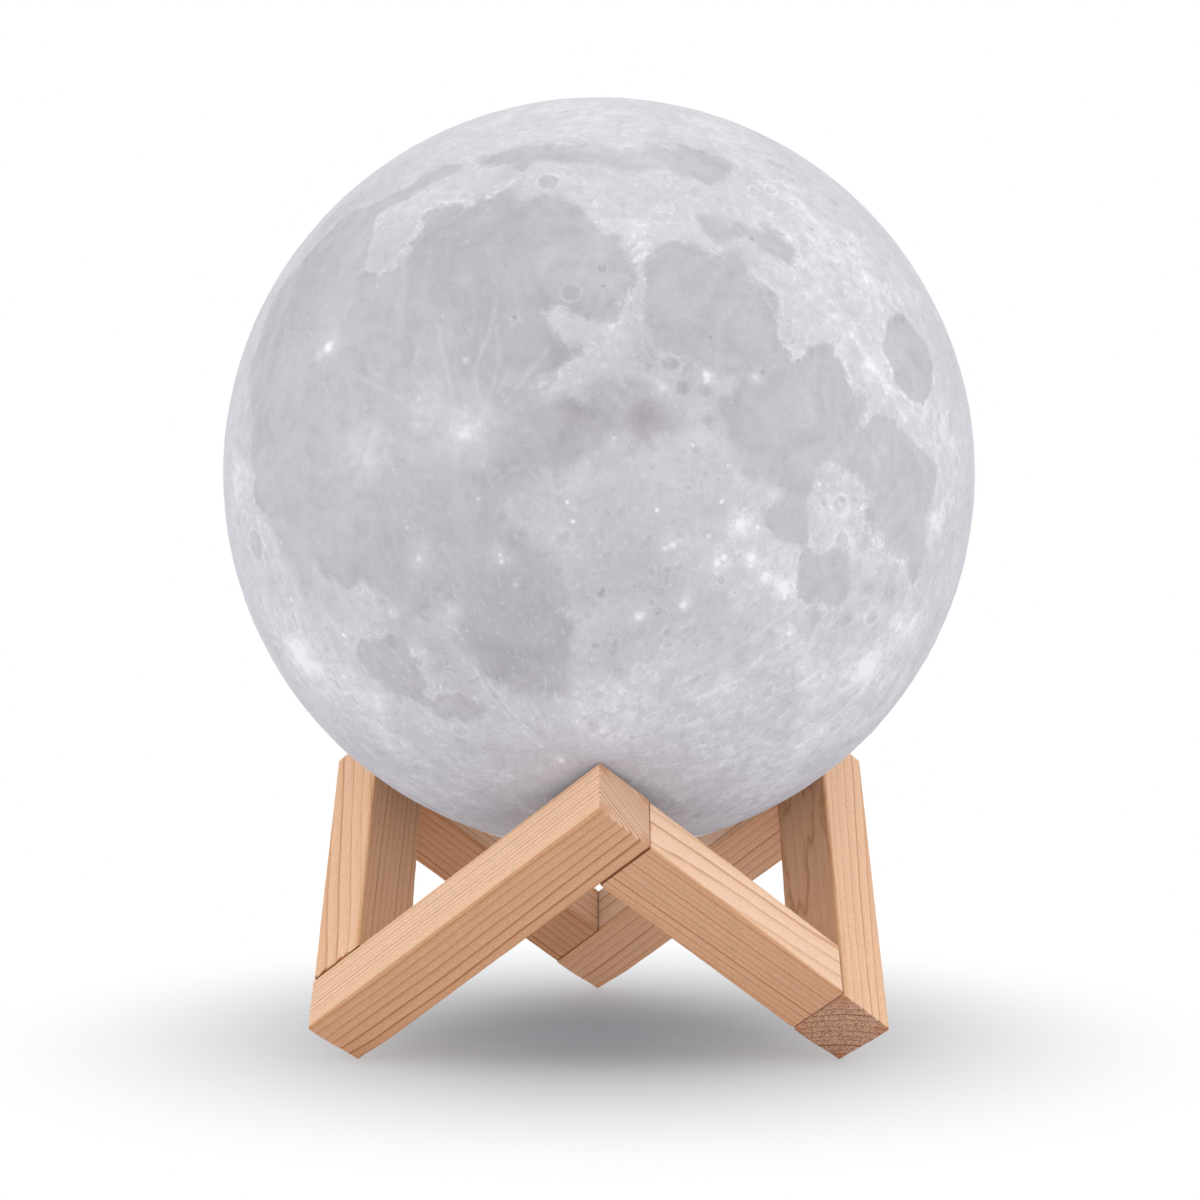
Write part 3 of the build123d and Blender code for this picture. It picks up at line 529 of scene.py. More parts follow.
# Single bright streaks: polylines in pixels, width in pixels, amount
STREAKS = [
    ([(456, 630), (470, 656), (484, 688), (505, 714), (545, 750)], 3.5, 0.16),
    ([(463, 640), (480, 668), (501, 700), (522, 724), (556, 752)], 3.0, 0.14),
    ([(530, 700), (542, 718), (552, 738)], 3.0, 0.12),
    ([(478, 398), (474, 370), (489, 332), (496, 300)], 4.0, 0.13),
    ([(488, 398), (499, 362), (497, 326)], 3.0, 0.12),
    ([(452, 398), (446, 366), (436, 322)], 4.0, 0.12),
    ([(504, 402), (526, 376), (546, 350)], 4.5, 0.12),
    ([(514, 408), (552, 390), (580, 380)], 4.0, 0.08),
    ([(428, 400), (412, 372), (420, 342)], 5.0, 0.12),
    ([(402, 402), (382, 378), (366, 364)], 4.0, 0.13),
    ([(398, 394), (372, 384), (352, 372)], 3.5, 0.10),
    ([(330, 350), (348, 378), (352, 408)], 5.0, 0.07),
    ([(330, 338), (342, 312), (352, 300)], 6.0, 0.07),
    ([(285, 305), (297, 288), (311, 262)], 3.0, 0.16),
    ([(262, 378), (266, 358), (274, 330)], 3.0, 0.18),
    ([(290, 278), (297, 268)], 2.5, 0.18),
    ([(372, 545), (330, 520), (300, 500)], 4.0, 0.06),
    ([(640, 702), (700, 672), (748, 642), (800, 602)], 5.0, 0.12),
    ([(655, 735), (720, 716), (790, 690), (850, 652)], 5.0, 0.12),
    ([(690, 702), (740, 680), (768, 652), (796, 640)], 3.5, 0.16),
    ([(640, 690), (690, 652), (735, 604)], 4.0, 0.07),
    ([(618, 700), (636, 664), (654, 612)], 4.0, 0.07),
    ([(800, 746), (846, 708), (876, 674), (918, 622)], 5.0, 0.16),
    ([(760, 762), (820, 728), (868, 690)], 4.0, 0.12),
    ([(868, 690), (905, 640), (932, 580)], 4.0, 0.14),
    ([(717, 378), (721, 330), (722, 262)], 6.0, 0.06),
    ([(852, 336), (870, 362), (892, 394), (906, 420)], 8.0, 0.20),
    ([(880, 372), (905, 405), (930, 428)], 5.0, 0.12),
    ([(838, 262), (862, 250), (848, 226)], 5.0, 0.10),
    ([(262, 600), (285, 640), (318, 668)], 5.0, 0.14),
    ([(255, 505), (262, 540), (276, 578)], 4.0, 0.16),
    ([(566, 560), (590, 530), (602, 500)], 5.0, 0.05),
]

# Plains, shades and rays on the side away from the front: latitude, longitude, sizes in degrees, amount
FAR_PLAINS = [
    (27, 147, 5), (23, 151, 3), (31, 143, 3), (-20, 129, 3.5), (-23, 125, 2), (-34, 163, 5), (-37, 170, 4),
    (-48, 176, 6), (-52, -176, 5), (-56, -168, 4), (-43, -172, 3), (-19, -95, 4), (-16, -91, 3),
    (25, 112, 3), (-47, 93, 6), (-43, 100, 4), (-50, 85, 4), (10, 95, 4), (14, 92, 3), (50, -118, 3),
    (-40, 150, 3), (2, 86, 3),
]
FAR_SHADES = [
    (-50, 178, 26, -0.20), (-35, -160, 12, -0.12), (12, 168, 20, 0.12), (38, -150, 16, 0.10),
    (-10, -125, 14, 0.12), (55, 150, 14, -0.08), (-18, 100, 16, 0.08), (30, 105, 16, 0.10),
    (-60, 110, 14, 0.10), (0, -150, 10, -0.10), (20, 128, 9, -0.12), (-8, 140, 10, -0.10),
    (48, 100, 10, -0.10), (-30, -115, 11, -0.08), (22, -112, 12, 0.12),
]
FAR_RAYS = [
    (4, 129, 4.5, 26, 0.9), (-20, -130, 4, 24, 0.9), (30, 150, 3, 18, 0.7), (-36, 165, 3, 16, 0.7),
    (22, -112, 3, 22, 0.8), (48, 165, 2.5, 16, 0.6), (-5, -165, 2, 14, 0.6), (-55, 120, 3, 18, 0.7),
]
FAR_RAY_FINENESS = 1.5

# Ringed craters on the far side: how many on half a ball, radii in degrees, how far round they start, floor
# and rim, and the turns that spread them and draw their sizes
FAR_RING_COUNT = 90
FAR_RING_SIZES = (0.7, 4.2)
FAR_RING_START = 0.12
FAR_RING_LOOK = (0.8, 1.4)
GOLDEN_TURN = 137.508
SIZE_TURN = 0.754877

# Printed pits: cells per millimetre, least draw that makes a pit, depth of tone
PIT_LAYERS = [(0.16, 0.62, 0.08), (0.32, 0.50, 0.075), (0.62, 0.40, 0.07)]

# Small bright dots: cells per millimetre, outer and inner reach in cells, least draw that makes a dot, amount
DOT_LAYERS = [(0.30, 0.16, 0.03, 0.70, 0.26), (0.75, 0.20, 0.04, 0.62, 0.24)]

# Colours of the print from dark to bright, a warmer tint on two spots (pixel, radius), and a cool tint on the
# underside that is painted light, offsetting the warm light that the stand throws up onto the ball
MOON_TONES = [
    (0.0, (163, 160, 166)), (0.30, (195, 193, 198)), (0.60, (214, 212, 219)), (1.0, (247, 246, 251)),
]
WARM_TINT = (247, 239, 241)
WARM_SPOTS = [(583, 415, 26), (645, 420, 28)]
PAINTED_COOL_LIGHT = (241, 249, 255)


def far_rings():
    """Ringed craters spread over the far side by golden turns, few of them wide: direction and radius."""
    rows = []
    least, most = FAR_RING_SIZES
    for count in range(2 * FAR_RING_COUNT):
        latitude = math.degrees(math.asin(1 - (2 * count + 1) / (2 * FAR_RING_COUNT)))
        direction = on_ball(latitude, count * GOLDEN_TURN)
        share = (count * SIZE_TURN) % 1.0
        if direction.y > FAR_RING_START:
            rows.append((direction, math.radians(least + (most - least) * share ** 4)))
    return rows


def seen(x, y):
    """Direction from the ball's centre to the place that the camera sees at a pixel of its frame."""
    width = CAMERA_SENSOR / CAMERA_LENS
    across = (x / FRAME_PIXELS - 0.5 + CAMERA_SHIFT) * width
    up = (0.5 - y / FRAME_PIXELS) * width
    dip = math.radians(CAMERA_DIP)
    forward = math.cos(dip) + up * math.sin(dip)
    ray = Vector((across, forward, up * math.cos(dip) - math.sin(dip))).normalized()
    eye = Vector(CAMERA_PLACE) - BALL_CENTRE
    nearest = -ray.dot(eye)
    depth = BALL_RADIUS ** 2 - (eye.length_squared - nearest ** 2)
    return (eye + ray * (nearest - math.sqrt(max(0.0, depth)))).normalized()


def front_map(directions):
    """Flat map of the ball: angle from the front in radians, laid out the way each direction leans."""
    directions = np.asarray(directions, dtype=float)
    angle = np.arccos(np.clip(-directions[:, 1], -1, 1))
    across = np.maximum(np.hypot(directions[:, 0], directions[:, 2]), 1e-9)
    return directions[:, (0, 2)] * (angle / across)[:, None]


def line_distance(points, start, end):
    """Distance of map points from a straight piece of line."""
    edge = end - start
    away = points - start
    share = np.clip(away @ edge / (edge @ edge), 0, 1)
    return np.hypot(*(away - share[:, None] * edge).T)


def outline_distance(points, outline):
    """Distance of map points from a closed outline, below zero inside it."""
    near = np.full(len(points), 9.0)
    inside = np.zeros(len(points), bool)
    for start, end in zip(outline, np.roll(outline, -1, axis=0)):
        near = np.minimum(near, line_distance(points, start, end))
        rise = end[1] - start[1] or 1e-12
        cut = start[0] + (points[:, 1] - start[1]) * (end[0] - start[0]) / rise
        inside ^= ((start[1] > points[:, 1]) != (end[1] > points[:, 1])) & (points[:, 0] < cut)
    return np.where(inside, -near, near)


def print_map(mesh):
    """Stores the print's large features on the ball: distance from the plains, shades, soft edges, ranges."""
    places = np.empty(len(mesh.vertices) * 3)
    mesh.vertices.foreach_get("co", places)
    directions = places.reshape(-1, 3) - np.array(BALL_CENTRE)
    directions /= np.linalg.norm(directions, axis=1)[:, None]
    points = front_map(directions)

    def angle_to(direction):
        return np.arccos(np.clip(directions @ np.array(direction), -1, 1))

    def spread(direction, radius):
        return np.exp(-(angle_to(direction) / radius) ** 2)

    sea = np.full(len(points), 1.0)
    for outline in PLAINS.values():
        sea = np.minimum(sea, outline_distance(points, front_map([seen(x, y) for x, y in outline])))
    for latitude, longitude, size in FAR_PLAINS:
        sea = np.minimum(sea, angle_to(on_ball(latitude, longitude)) - math.radians(size))
    plain_shade, upland_shade, ranges = np.zeros((3, len(points)))
    for x, y, radius, on_plain, on_upland in SHADES:
        near = spread(seen(x, y), radius * PIXEL_ANGLE)
        plain_shade += on_plain * near
        upland_shade += on_upland * near
    for latitude, longitude, size, amount in FAR_SHADES:
        upland_shade += amount * spread(on_ball(latitude, longitude), math.radians(size))
    soft = np.clip(directions[:, 1] * 2, 0, 0.6)
    for x, y, radius, amount in SOFT:
        soft = np.maximum(soft, amount * spread(seen(x, y), radius * PIXEL_ANGLE))
    for line, width in RANGES:
        corners = front_map([seen(x, y) for x, y in line])
        for start, end in zip(corners[:-1], corners[1:]):
            far = line_distance(points, start, end) / (width * PIXEL_ANGLE)
            ranges = np.maximum(ranges, np.exp(-far ** 2))
    maps = {
        "sea": sea, "plain_shade": plain_shade, "upland_shade": upland_shade, "soft": soft, "range": ranges,
    }
    for name, values in maps.items():
        mesh.attributes.new(name, "FLOAT", "POINT").data.foreach_set("value", values)


def ring_markers():
    """A helper mesh with one point for each ringed crater: its direction, reach in radians, floor and rim."""
    rows = [(seen(x, y), size * PIXEL_ANGLE, floor, rim) for x, y, size, floor, rim in RINGS]
    rows += [(direction, size, *FAR_RING_LOOK) for direction, size in far_rings()]
    mesh = bpy.data.meshes.new("rings")
    mesh.from_pydata([row[0] for row in rows], [], [])
    for column, name in enumerate(("reach", "floor", "rim"), start=1):
        mesh.attributes.new(name, "FLOAT", "POINT").data.foreach_set("value", [row[column] for row in rows])
    return linked("rings", mesh)


# The ball
def moon_blank():
    """Hollow ball with a round mouth: five sides of a swollen cube, rings to the mouth, a plain inside."""
    outer = BALL_RADIUS - RELIEF_ROOM
    inner = BALL_RADIUS - BALL_WALL
    spread = np.tan(np.linspace(-1, 1, BALL_CELLS + 1) * math.pi / 4)
    points, faces = [], []

    def sheet(rows, closed):
        """Joins rows of points into a sheet of four-sided faces."""
        first, count = len(points), len(rows[0])
        points.extend(point for row in rows for point in row)
        for r in range(len(rows) - 1):
            for c in range(count if closed else count - 1):
                here, beside = first + r * count + c, first + r * count + (c + 1) % count
                faces.append((here, beside, beside + count, here + count))

    def cube_place(axis, sign, u, v):
        corner = [u, v]
        corner.insert(axis, sign)
        return Vector(corner).normalized() * outer

    for axis, sign in ((0, 1), (0, -1), (1, 1), (1, -1), (2, 1)):
        sheet([[cube_place(axis, sign, u, v) for v in spread] for u in spread], False)

    square = [(s, -1) for s in spread[:-1]] + [(1, s) for s in spread[:-1]]
    square += [(-s, 1) for s in spread[:-1]] + [(-1, -s) for s in spread[:-1]]

    def level_ring(radius, angle):
        """Ring of points about the lower pole, at the azimuths of the square."""
        reach, drop = radius * math.sin(angle), -radius * math.cos(angle)
        return [Vector((x, y, 0)).normalized() * reach + Vector((0, 0, drop)) for x, y in square]

    rim = level_ring(outer, math.asin(MOUTH_RADIUS / outer))
    edge = [Vector((x, y, -1)).normalized() * outer for x, y in square]
    rings = []
    for ring in range(MOUTH_RINGS + 1):
        share = ring / MOUTH_RINGS
        rings.append([a.lerp(b, share).normalized() * outer for a, b in zip(edge, rim)])
    lip = math.asin(MOUTH_RADIUS / inner)
    for ring in range(INSIDE_RINGS):
        rings.append(level_ring(inner, lip + (math.pi - lip) * ring / INSIDE_RINGS))
    sheet(rings, True)
    top = len(points)
    points.append(Vector((0, 0, inner)))
    last = top - len(square)
    faces.extend((last + c, last + (c + 1) % len(square), top) for c in range(len(square)))

    mesh = bpy.data.meshes.new("moon_blank")
    mesh.from_pydata([point + BALL_CENTRE for point in points], [], faces)
    welded = bmesh.new()
    welded.from_mesh(mesh)
    bmesh.ops.remove_doubles(welded, verts=welded.verts, dist=0.001 * MM)
    bmesh.ops.recalc_face_normals(welded, faces=welded.faces)
    welded.to_mesh(mesh)
    welded.free()
    print_map(mesh)
    return mesh


def crater_profile(graph, distance):
    """Height across a crater, from -1 to 1, by distance from its middle in radii."""
    made = graph.node("ShaderNodeFloatCurve", {"Value": graph.math("DIVIDE", distance, 2.0, clamp=True)})
    curve = made.mapping.curves[0]
    for point, place in zip(curve.points, CRATER_ENDS):
        point.location = place
    for place in CRATER_CURVE:
        curve.points.new(*place)
    made.mapping.update()
    return (Value(graph, made.outputs[0]) - 0.5) * 2.0


def moon_tree():
    """Relief of the ball: plains let in, ringed craters one by one, scattered pits and a fine grain."""
    graph, given = new_group("moon_relief", "Geometry", {
        "Geometry": ["Blank"], "Vector": ["Centre"], "Object": ["Rings"], "Int": ["Seed"],
        "Float": ["Inside", "Plain Depth", "Ring Height", "Range Height", "Pit Spacing", "Pit Height",
                  "Grain Height", "Room"],
        "Material": ["Material"],
    }, "Geometry")
    position = graph.out("GeometryNodeInputPosition")
    away = position - given["Centre"]
    outside = graph.math("GREATER_THAN", graph.vector("LENGTH", away), given["Inside"])
    direction = graph.vector("NORMALIZE", away)
    geometry = given["Blank"]
    for name, value in (("ring", 9.0), ("floor", 0.0), ("rim", 0.0), ("height", 0.0)):
        geometry = store(graph, geometry, name, value)

    rings = graph.out("GeometryNodeObjectInfo", {"Object": given["Rings"]}, "Geometry")
    count = graph.out("GeometryNodeAttributeDomainSize", {0: rings}, "Point Count", component="MESH")
    first = graph.node("GeometryNodeRepeatInput")
    last = graph.node("GeometryNodeRepeatOutput")
    first.pair_with_output(last)
    graph.feed(first.inputs["Iterations"], count)
    graph.feed(first.inputs["Geometry"], geometry)
    turn = Value(graph, first.outputs["Iteration"])
    reach, floor, rim = [picked(graph, rings, named(graph, name), turn) for name in ("reach", "floor", "rim")]
    middle = picked(graph, rings, position, turn, "FLOAT_VECTOR")
    cosine = graph.math("MINIMUM", graph.vector("DOT_PRODUCT", direction, middle), 1.0)
    distance = graph.math("ARCCOSINE", cosine) / reach
    nearer = graph.math("LESS_THAN", distance, named(graph, "ring"))
    height = crater_profile(graph, distance) * graph.math("POWER", reach, 0.4) * given["Ring Height"]
    geometry = Value(graph, first.outputs["Geometry"])
    geometry = store(graph, geometry, "rim", named(graph, "rim") + nearer * (rim - named(graph, "rim")))
    geometry = store(graph, geometry, "ring", graph.math("MINIMUM", named(graph, "ring"), distance))
    floor = named(graph, "floor") + graph.step(distance, 1.35, 0.75) * floor
    geometry = store(graph, geometry, "floor", floor)
    geometry = store(graph, geometry, "height", named(graph, "height") + height)
    graph.feed(last.inputs["Geometry"], geometry)
    geometry = Value(graph, last.outputs["Geometry"])

    upland = graph.step(named(graph, "sea"), -0.02, 0.05, 0.10, 1.0)
    for layer, share in enumerate((1.0, 0.55)):
        spacing = given["Pit Spacing"] * share
        seed = given["Seed"] + layer
        scatter = graph.out("GeometryNodeDistributePointsOnFaces", {
            "Mesh": geometry, "Selection": outside, "Distance Min": spacing, "Density Factor": upland,
            "Density Max": graph.math("DIVIDE", 0.7, spacing * spacing), "Seed": seed,
        }, "Points", distribute_method="POISSON")
        size = graph.out("FunctionNodeRandomValue", {2: 0.12, 3: 0.34, "Seed": seed}, 1, data_type="FLOAT")
        pits = store(graph, scatter, "reach", size * spacing)
        nearest = graph.out("GeometryNodeSampleNearest", {0: pits}, domain="POINT")
        middle = picked(graph, pits, position, nearest, "FLOAT_VECTOR")
        reach = picked(graph, pits, named(graph, "reach"), nearest)
        distance = graph.vector("DISTANCE", position, middle) / reach
        height = crater_profile(graph, distance) * given["Pit Height"] * share
        geometry = store(graph, geometry, "height", named(graph, "height") + height)

    shore = graph.step(named(graph, "sea"), 0.012, -0.03)
    grain = graph.swing(position, 140.0, 5.0, 0.6) * given["Grain Height"] * (1.0 - shore * 0.7)
    height = named(graph, "height") + grain - shore * given["Plain Depth"]
    height = height + named(graph, "range") * given["Range Height"]
    offset = direction * (graph.math("MINIMUM", height, given["Room"]) * outside)
    moved = graph.out("GeometryNodeSetPosition", {"Geometry": geometry, "Offset": offset})
    return close_tree(graph, moved, given["Material"])


def ray_group():
    """Shader group for one bright crater: a soft halo and streaks that run away from it."""
    graph, given = new_group("ray_crater", "Shader", {
        "Vector": ["Direction", "Centre"], "Float": ["Halo", "Reach", "Fineness"],
    }, "Float")
    direction, halo = given["Direction"], given["Halo"]
    away = direction - given["Centre"]
    distance = graph.vector("LENGTH", away)
    bearing = graph.vector("NORMALIZE", away) + given["Centre"] * 7.0 + away * 1.6
    streak = graph.step(graph.noise(bearing, given["Fineness"] * 7.5, 3.0, 0.62), 0.52, 0.72)
    patchy = graph.step(graph.noise(direction, 22.0, 4.0, 0.6), 0.36, 0.62)
    fade = graph.step(distance, given["Reach"], 0.0)
    begun = graph.step(distance, halo * 0.15, halo * 0.7)
    ragged = distance + graph.swing(direction, 30.0, 5.0, 0.66) * halo * 1.5
    glow = graph.step(ragged, halo, 0.0)
    core = graph.step(ragged, halo * 0.38, 0.0)
    tone = glow * 0.20 + core * 0.22 + streak * fade * begun * (patchy * 0.8 + 0.2) * 0.26
    graph.node("NodeGroupOutput", {0: tone})
    return graph.tree


def streak_group():
    """Shader group for one straight piece of a bright streak."""
    graph, given = new_group("bright_streak", "Shader", {
        "Vector": ["Direction", "Start", "End"], "Float": ["Width"],
    }, "Float")
    run = given["End"] - given["Start"]
    away = given["Direction"] - given["Start"]
    share = graph.vector("DOT_PRODUCT", away, run) / graph.vector("DOT_PRODUCT", run, run)
    share = graph.math("MAXIMUM", graph.math("MINIMUM", share, 1.0), 0.0)
    miss = graph.vector("LENGTH", away - run * share)
    graph.node("NodeGroupOutput", {0: graph.step(miss, given["Width"], 0.0)})
    return graph.tree


def all_rays(graph, direction):
    """Tone of the bright craters on both sides of the ball."""
    tree = ray_group()
    rows = [(seen(x, y), halo * PIXEL_ANGLE, reach * PIXEL_ANGLE, *look) for x, y, halo, reach, *look in RAYS]
    for latitude, longitude, halo, reach, strength in FAR_RAYS:
        centre = on_ball(latitude, longitude)
        rows.append((centre, math.radians(halo), math.radians(reach), FAR_RAY_FINENESS, strength))
    tone = 0.0
    for centre, halo, reach, fineness, strength in rows:
        values = {
            "Direction": direction, "Centre": centre, "Halo": halo, "Reach": reach, "Fineness": fineness,
        }
        tone = graph.out("ShaderNodeGroup", values, node_tree=tree) * strength + tone
    return tone


def all_streaks(graph, direction):
    """Tone of the single bright streaks."""
    tree = streak_group()
    tone = 0.0
    for line, width, amount in STREAKS:
        for start, end in zip(line[:-1], line[1:]):
            values = {
                "Direction": direction, "Start": seen(*start), "End": seen(*end),
                "Width": width * PIXEL_ANGLE,
            }
            piece = graph.out("ShaderNodeGroup", values, node_tree=tree)
            tone = graph.math("MAXIMUM", piece * amount, tone)
    return tone


def moon_print():
    """Matt printed moon: grey plains and uplands, ranges, rims, rays, bright specks and dark pits."""
    finish, graph, shader = new_finish("moon_print")
    place = graph.object_mm() - tuple(BALL_CENTRE / MM)
    direction = graph.vector("NORMALIZE", place)
    sea_edge, plain_shade, upland_shade, soft, ranges, ring, floor, rim_share = graph.stored(
        "sea", "plain_shade", "upland_shade", "soft", "range", "ring", "floor", "rim")
    cloud = graph.swing(place, 0.08, 8.0, 0.62, 0.8)
    wisp = graph.swing(place, 0.06, 9.0, 0.60, 2.6)
    fine = graph.swing(place, 0.42, 6.0, 0.70, 0.3)
    crumb = graph.swing(place, 1.3, 4.0, 0.6)
    fleck = graph.step(graph.noise(place, 0.85, 3.0, 0.6), 0.58, 0.74)
    smudge = graph.step(graph.noise(place, 0.50, 2.0, 0.5, 0.4), 0.40, 0.28)
    wander = graph.noise(place, 0.35, 4.0, output="Color") - (0.5, 0.5, 0.5)
    wandered = direction + wander * (6 * PIXEL_ANGLE)

    coast = sea_edge + graph.swing(place, 0.16, 9.0, 0.68, 0.3) * (soft * 0.16 + 0.09)
    coast_width = graph.step(soft, 0.0, 1.0, 0.007, 0.038)
    sea = graph.step(coast, coast_width, coast_width * -1.2)
    patchy = cloud * 1.2 + fine * 1.8 + 1.0
    upland = cloud * 0.56 + fine * 0.62 + crumb * 0.16 + fleck * 0.14 - smudge * 0.12 + 0.54
    upland = upland + upland_shade * patchy
    plain = wisp * 0.44 + cloud * 0.20 + fine * 0.32 + crumb * 0.10 + fleck * 0.06 + 0.29
    plain = plain + plain_shade * patchy
    tone = upland * (1.0 - sea) + plain * sea
    faint = graph.step(graph.noise(place, 0.30, 3.0, 0.6), 0.36, 0.62, 0.35, 1.0)
    tone = tone + all_rays(graph, direction) + all_streaks(graph, wandered) * faint

    edge = graph.step(coast, -0.004, 0.004) * graph.step(coast, 0.026, 0.006)
    crumbled = graph.step(graph.noise(place, 0.95, 3.0, 0.7), 0.50, 0.68)
    broken = edge * graph.step(graph.noise(place, 0.7, 3.0, 0.6), 0.40, 0.58)
    tone = tone + ranges * (broken * 0.18 + crumbled * 0.20)

    ring = ring + fine * 0.35
    rim = graph.step(ring, 0.78, 0.96) * graph.step(ring, 1.22, 1.02) * rim_share
    rim = rim * graph.step(graph.noise(place, 0.5), 0.28, 0.60)
    tone = tone + rim * 0.14 - graph.step(ring, 0.98, 0.74) * floor * 0.22

    pitted = (1.0 - sea * 0.75) * graph.step(graph.split(direction)[1], 0.05, 0.5, 1.0, 2.0)
    for scale, least, depth in PIT_LAYERS:
        distance, draw = graph.cells(wandered, scale * BALL_RADIUS / MM)
        distance = distance + fine * 0.10
        chosen = graph.step(draw, least, 1.0) * pitted * depth
        crest = graph.step(distance, 0.20, 0.30) * graph.step(distance, 0.42, 0.32)
        tone = tone + crest * chosen - graph.step(distance, 0.30, 0.16) * chosen * 1.4
    for scale, outer, inner, least, amount in DOT_LAYERS:
        distance, draw = graph.cells(place, scale)
        tone = tone + graph.step(distance, outer, inner) * graph.step(draw, least, 1.0) * amount
    for x, y, radius, amount in SPECKS:
        distance = graph.vector("DISTANCE", wandered, tuple(seen(x, y)))
        tone = tone + graph.step(distance, radius * 1.6 * PIXEL_ANGLE, 0.0, 0.0, amount)

    colour = graph.ramp(tone, MOON_TONES)
    for x, y, radius in WARM_SPOTS:
        distance = graph.vector("DISTANCE", direction, tuple(seen(x, y)))
        tint = graph.step(distance, radius * PIXEL_ANGLE, 0.0) * graph.step(cloud, -0.15, 0.15)
        colour = graph.blend(tint, colour, paint(*WARM_TINT), "MULTIPLY")
    # painted light: a cool tint towards the mouth offsets the warm light that the wooden stand throws up onto
    # the ball
    painted_cool_light_below = graph.step(graph.split(direction)[2], -0.5, -0.85)
    colour = graph.blend(painted_cool_light_below, colour, paint(*PAINTED_COOL_LIGHT), "MULTIPLY")
    dress(graph, shader, colour, graph.step(fine, -0.3, 0.3, 0.58, 0.76), fine + crumb * 0.5, 0.12 * MM, 0.5,
          Specular_IOR_Level=0.25, Sheen_Weight=0.10)
    return finish


def build_ball():
    rings = ring_markers()
    values = {
        "Centre": BALL_CENTRE, "Inside": BALL_RADIUS - BALL_WALL + RELIEF_ROOM, "Rings": rings,
        "Material": moon_print(),
    }
    ball = grow("moon_ball", moon_tree(), values | RELIEF, moon_blank())
    bpy.data.objects.remove(rings)
    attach(ball, "globe")
    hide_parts("moon_shell")


# Sticks: the cube edge that each follows, low end of its middle line along the cube's edges and its length;
# then the timber it is cut from: ring spacing in mm, way to the pith from the section's first axis and
# distance to it in mm, slant of the rings, torn depth in mm and soaked-in glue or dirt at both ends, side of
# the heartwood and how dark it is (that darker side is set on faces that lie in shade, so it is partly
# painted shade), strength of the ring lines, open grain, warmth, seed
MIDDLE = STICK_WIDTH / 2
FAR = FRAME_EDGE - MIDDLE
WHOLE = FRAME_EDGE + 2 * END_PROUD
BACK = INNER_EDGE + END_PROUD
SHORT = INNER_EDGE - STICK_WIDTH
STICKS = {
    "front_left_stick": dict(
        edge="y", start=(FAR, -END_PROUD, MIDDLE), length=WHOLE, rings=1.0, way=150, pith=90,
        slant=(0.012, 0.02), torn=(0.0, 0.0), soak=(0.0, 0.0), heart=(-1, 0), dark=0.9, lines=0.85, vein=0.0,
        warm=0.45, seed=3),
    "front_right_stick": dict(
        edge="x", start=(STICK_WIDTH, FAR, MIDDLE), length=SHORT, rings=1.12, way=17, pith=70,
        slant=(0.03, 0.01), torn=(0.0, 0.10), soak=(0.9, 0.9), heart=(0, -1), dark=1.0, lines=0.85, vein=0.0,
        warm=0.0, seed=11),
    "right_stick": dict(
        edge="z", start=(MIDDLE, FAR, -END_PROUD), length=WHOLE, rings=1.45, way=45, pith=34,
        slant=(0.01, 0.012), torn=(0.0, 0.0), soak=(0.22, 0.22), heart=(1, 0), dark=0.65, lines=0.6, vein=1.0,
        warm=0.75, seed=7),
    "back_right_stick": dict(
        edge="y", start=(MIDDLE, -END_PROUD, FAR), length=BACK, rings=1.8, way=60, pith=50,
        slant=(0.02, -0.03), torn=(0.0, 0.06), soak=(0.0, 0.9), heart=(-1, 0), dark=0.6, lines=0.9, vein=0.0,
        warm=0.1, seed=17),
    "back_left_stick": dict(
        edge="x", start=(STICK_WIDTH, MIDDLE, FAR), length=SHORT, rings=1.4, way=35, pith=60,
        slant=(-0.02, 0.02), torn=(0.06, 0.0), soak=(0.9, 0.9), heart=(0, -1), dark=1.0, lines=1.0, vein=0.0,
        warm=0.8, seed=23),
    "left_stick": dict(
        edge="z", start=(FAR, MIDDLE, STICK_WIDTH), length=BACK, rings=1.10, way=23, pith=55,
        slant=(0.02, 0.01), torn=(0.6, 0.0), soak=(0.9, 0.0), heart=(0, 1), dark=0.4, lines=0.6, vein=0.0,
        warm=1.0, seed=29),
}

# Colours of the wood
SPRING_WOOD = (250, 212, 183)
AUTUMN_WOOD = (236, 185, 138)
RING_LINE = (178, 106, 52)
VEIN_STREAK = (182, 118, 68)
RUBBED_EDGE = (233, 178, 126)
HEARTWOOD_AND_SHADE = (222, 207, 195)
WARM_WOOD = (246, 238, 228)
END_SPRING = (236, 194, 164)
END_AUTUMN = (150, 104, 78)
END_LINE = (118, 62, 36)
END_PORE = (126, 84, 64)
END_RUST = (196, 122, 72)
SOAKED_END = (112, 58, 30)
TORN_FIBRE = (168, 100, 54)


def edge_direction(azimuth):
    """Unit vector along one cube edge, rising towards an azimuth."""
    turn = math.radians(azimuth)
    return Vector((EDGE_REACH * math.cos(turn), EDGE_REACH * math.sin(turn), EDGE_RISE))


CUBE = {"x": edge_direction(210), "y": edge_direction(330), "z": edge_direction(90)}
SECTIONS = {"x": ("y", "z"), "y": ("z", "x"), "z": ("x", "y")}
CUBE_BASE = Vector((0, 0, -(INNER_EDGE - END_PROUD) * EDGE_RISE - FOOT_CUT))


def cube_point(x, y, z):
    """A point given along the cube's three edges, in the lamp's own frame."""
    return CUBE_BASE + CUBE["x"] * x + CUBE["y"] * y + CUBE["z"] * z


